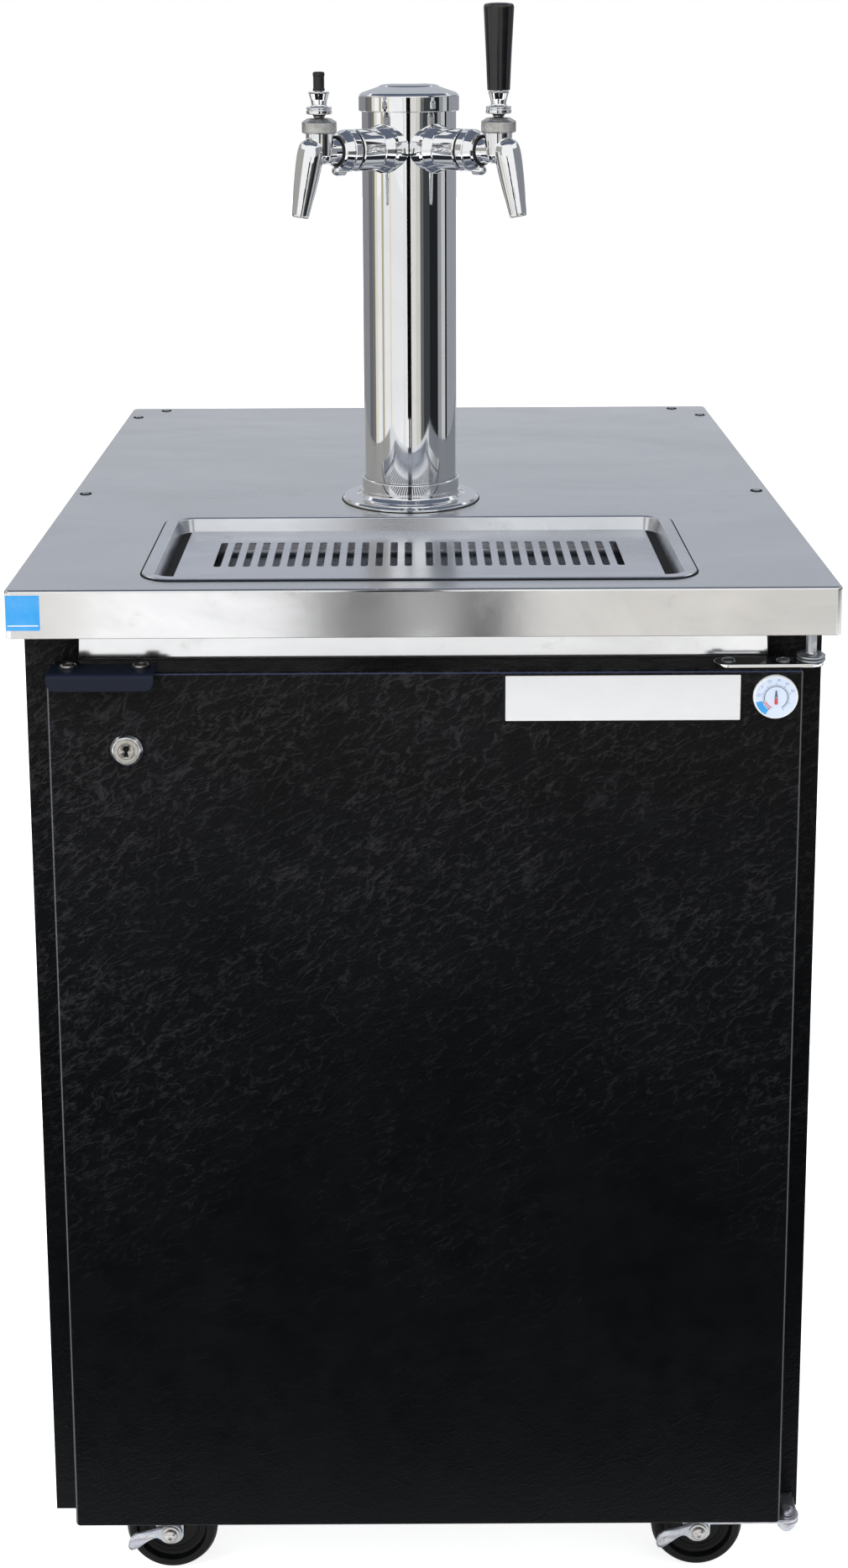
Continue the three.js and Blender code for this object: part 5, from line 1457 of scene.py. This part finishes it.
def lamps():
    """Lights that no surface mirrors; each has its place, what it faces, its two sizes and its power."""
    for name, at, towards, size, power in [
        ("left_window", (-2.4, -2.0, 2.6), (0, -0.3, 0.7), (1.2, 1.4), 62),
        ("door_graze", (-0.9, -0.75, 2.3), (0.0, -0.36, 0.75), (0.5, 0.3), 14),
        ("right_fill", (2.8, -2.2, 2.2), (0, -0.2, 0.6), (2.0, 2.4), 22),
        ("overhead", (0, 0.3, 3.6), (0, 0, 0.8), (2.4, 2.4), 30),
    ]:
        light = bpy.data.lights.new(name, "AREA")
        light.shape = "RECTANGLE"
        light.size, light.size_y = size
        light.energy = power
        piece = bpy.data.objects.new(name, light)
        piece.location = at
        piece.rotation_euler = (Vector(towards) - Vector(at)).to_track_quat("-Z", "Y").to_euler()
        piece.visible_glossy = False
        bpy.context.scene.collection.objects.link(piece)


def camera():
    """The photograph's own viewpoint."""
    tilt = radians(9.725)
    aim = radians(0.02)
    roll = radians(-0.272)
    forward = Vector((sin(aim) * cos(tilt), cos(aim) * cos(tilt), -sin(tilt)))
    right = Vector((cos(aim), -sin(aim), 0))
    up = right.cross(forward)
    right, up = right * cos(roll) + up * sin(roll), up * cos(roll) - right * sin(roll)
    lens = bpy.data.cameras.new("camera")
    lens.lens = 47.54
    lens.sensor_width = 36
    lens.shift_x = 0.0076
    lens.shift_y = -0.2577
    lens.clip_end = 100
    piece = bpy.data.objects.new("camera", lens)
    turn = Matrix((right, up, -forward)).transposed().to_4x4()
    piece.matrix_world = Matrix.Translation((-0.008, -1.8146, 1.2985)) @ turn
    bpy.context.scene.collection.objects.link(piece)
    bpy.context.scene.camera = piece


camera()
dress_cabinet()
counter_top()
drip_tray()
drip_grille()
label()
column()
tap(-1, "left")
tap(1, "right")
grips()
dress_door()
upper_hinge()
lower_hinge()
casters()
hidden_solids()
surroundings()
floor()
world()
lamps()
bpy.context.scene.view_settings.view_transform = "Standard"

boxes = {"solids": solid_box, "visual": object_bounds()}
{name: [list(corner) for corner in box] for name, box in boxes.items()}
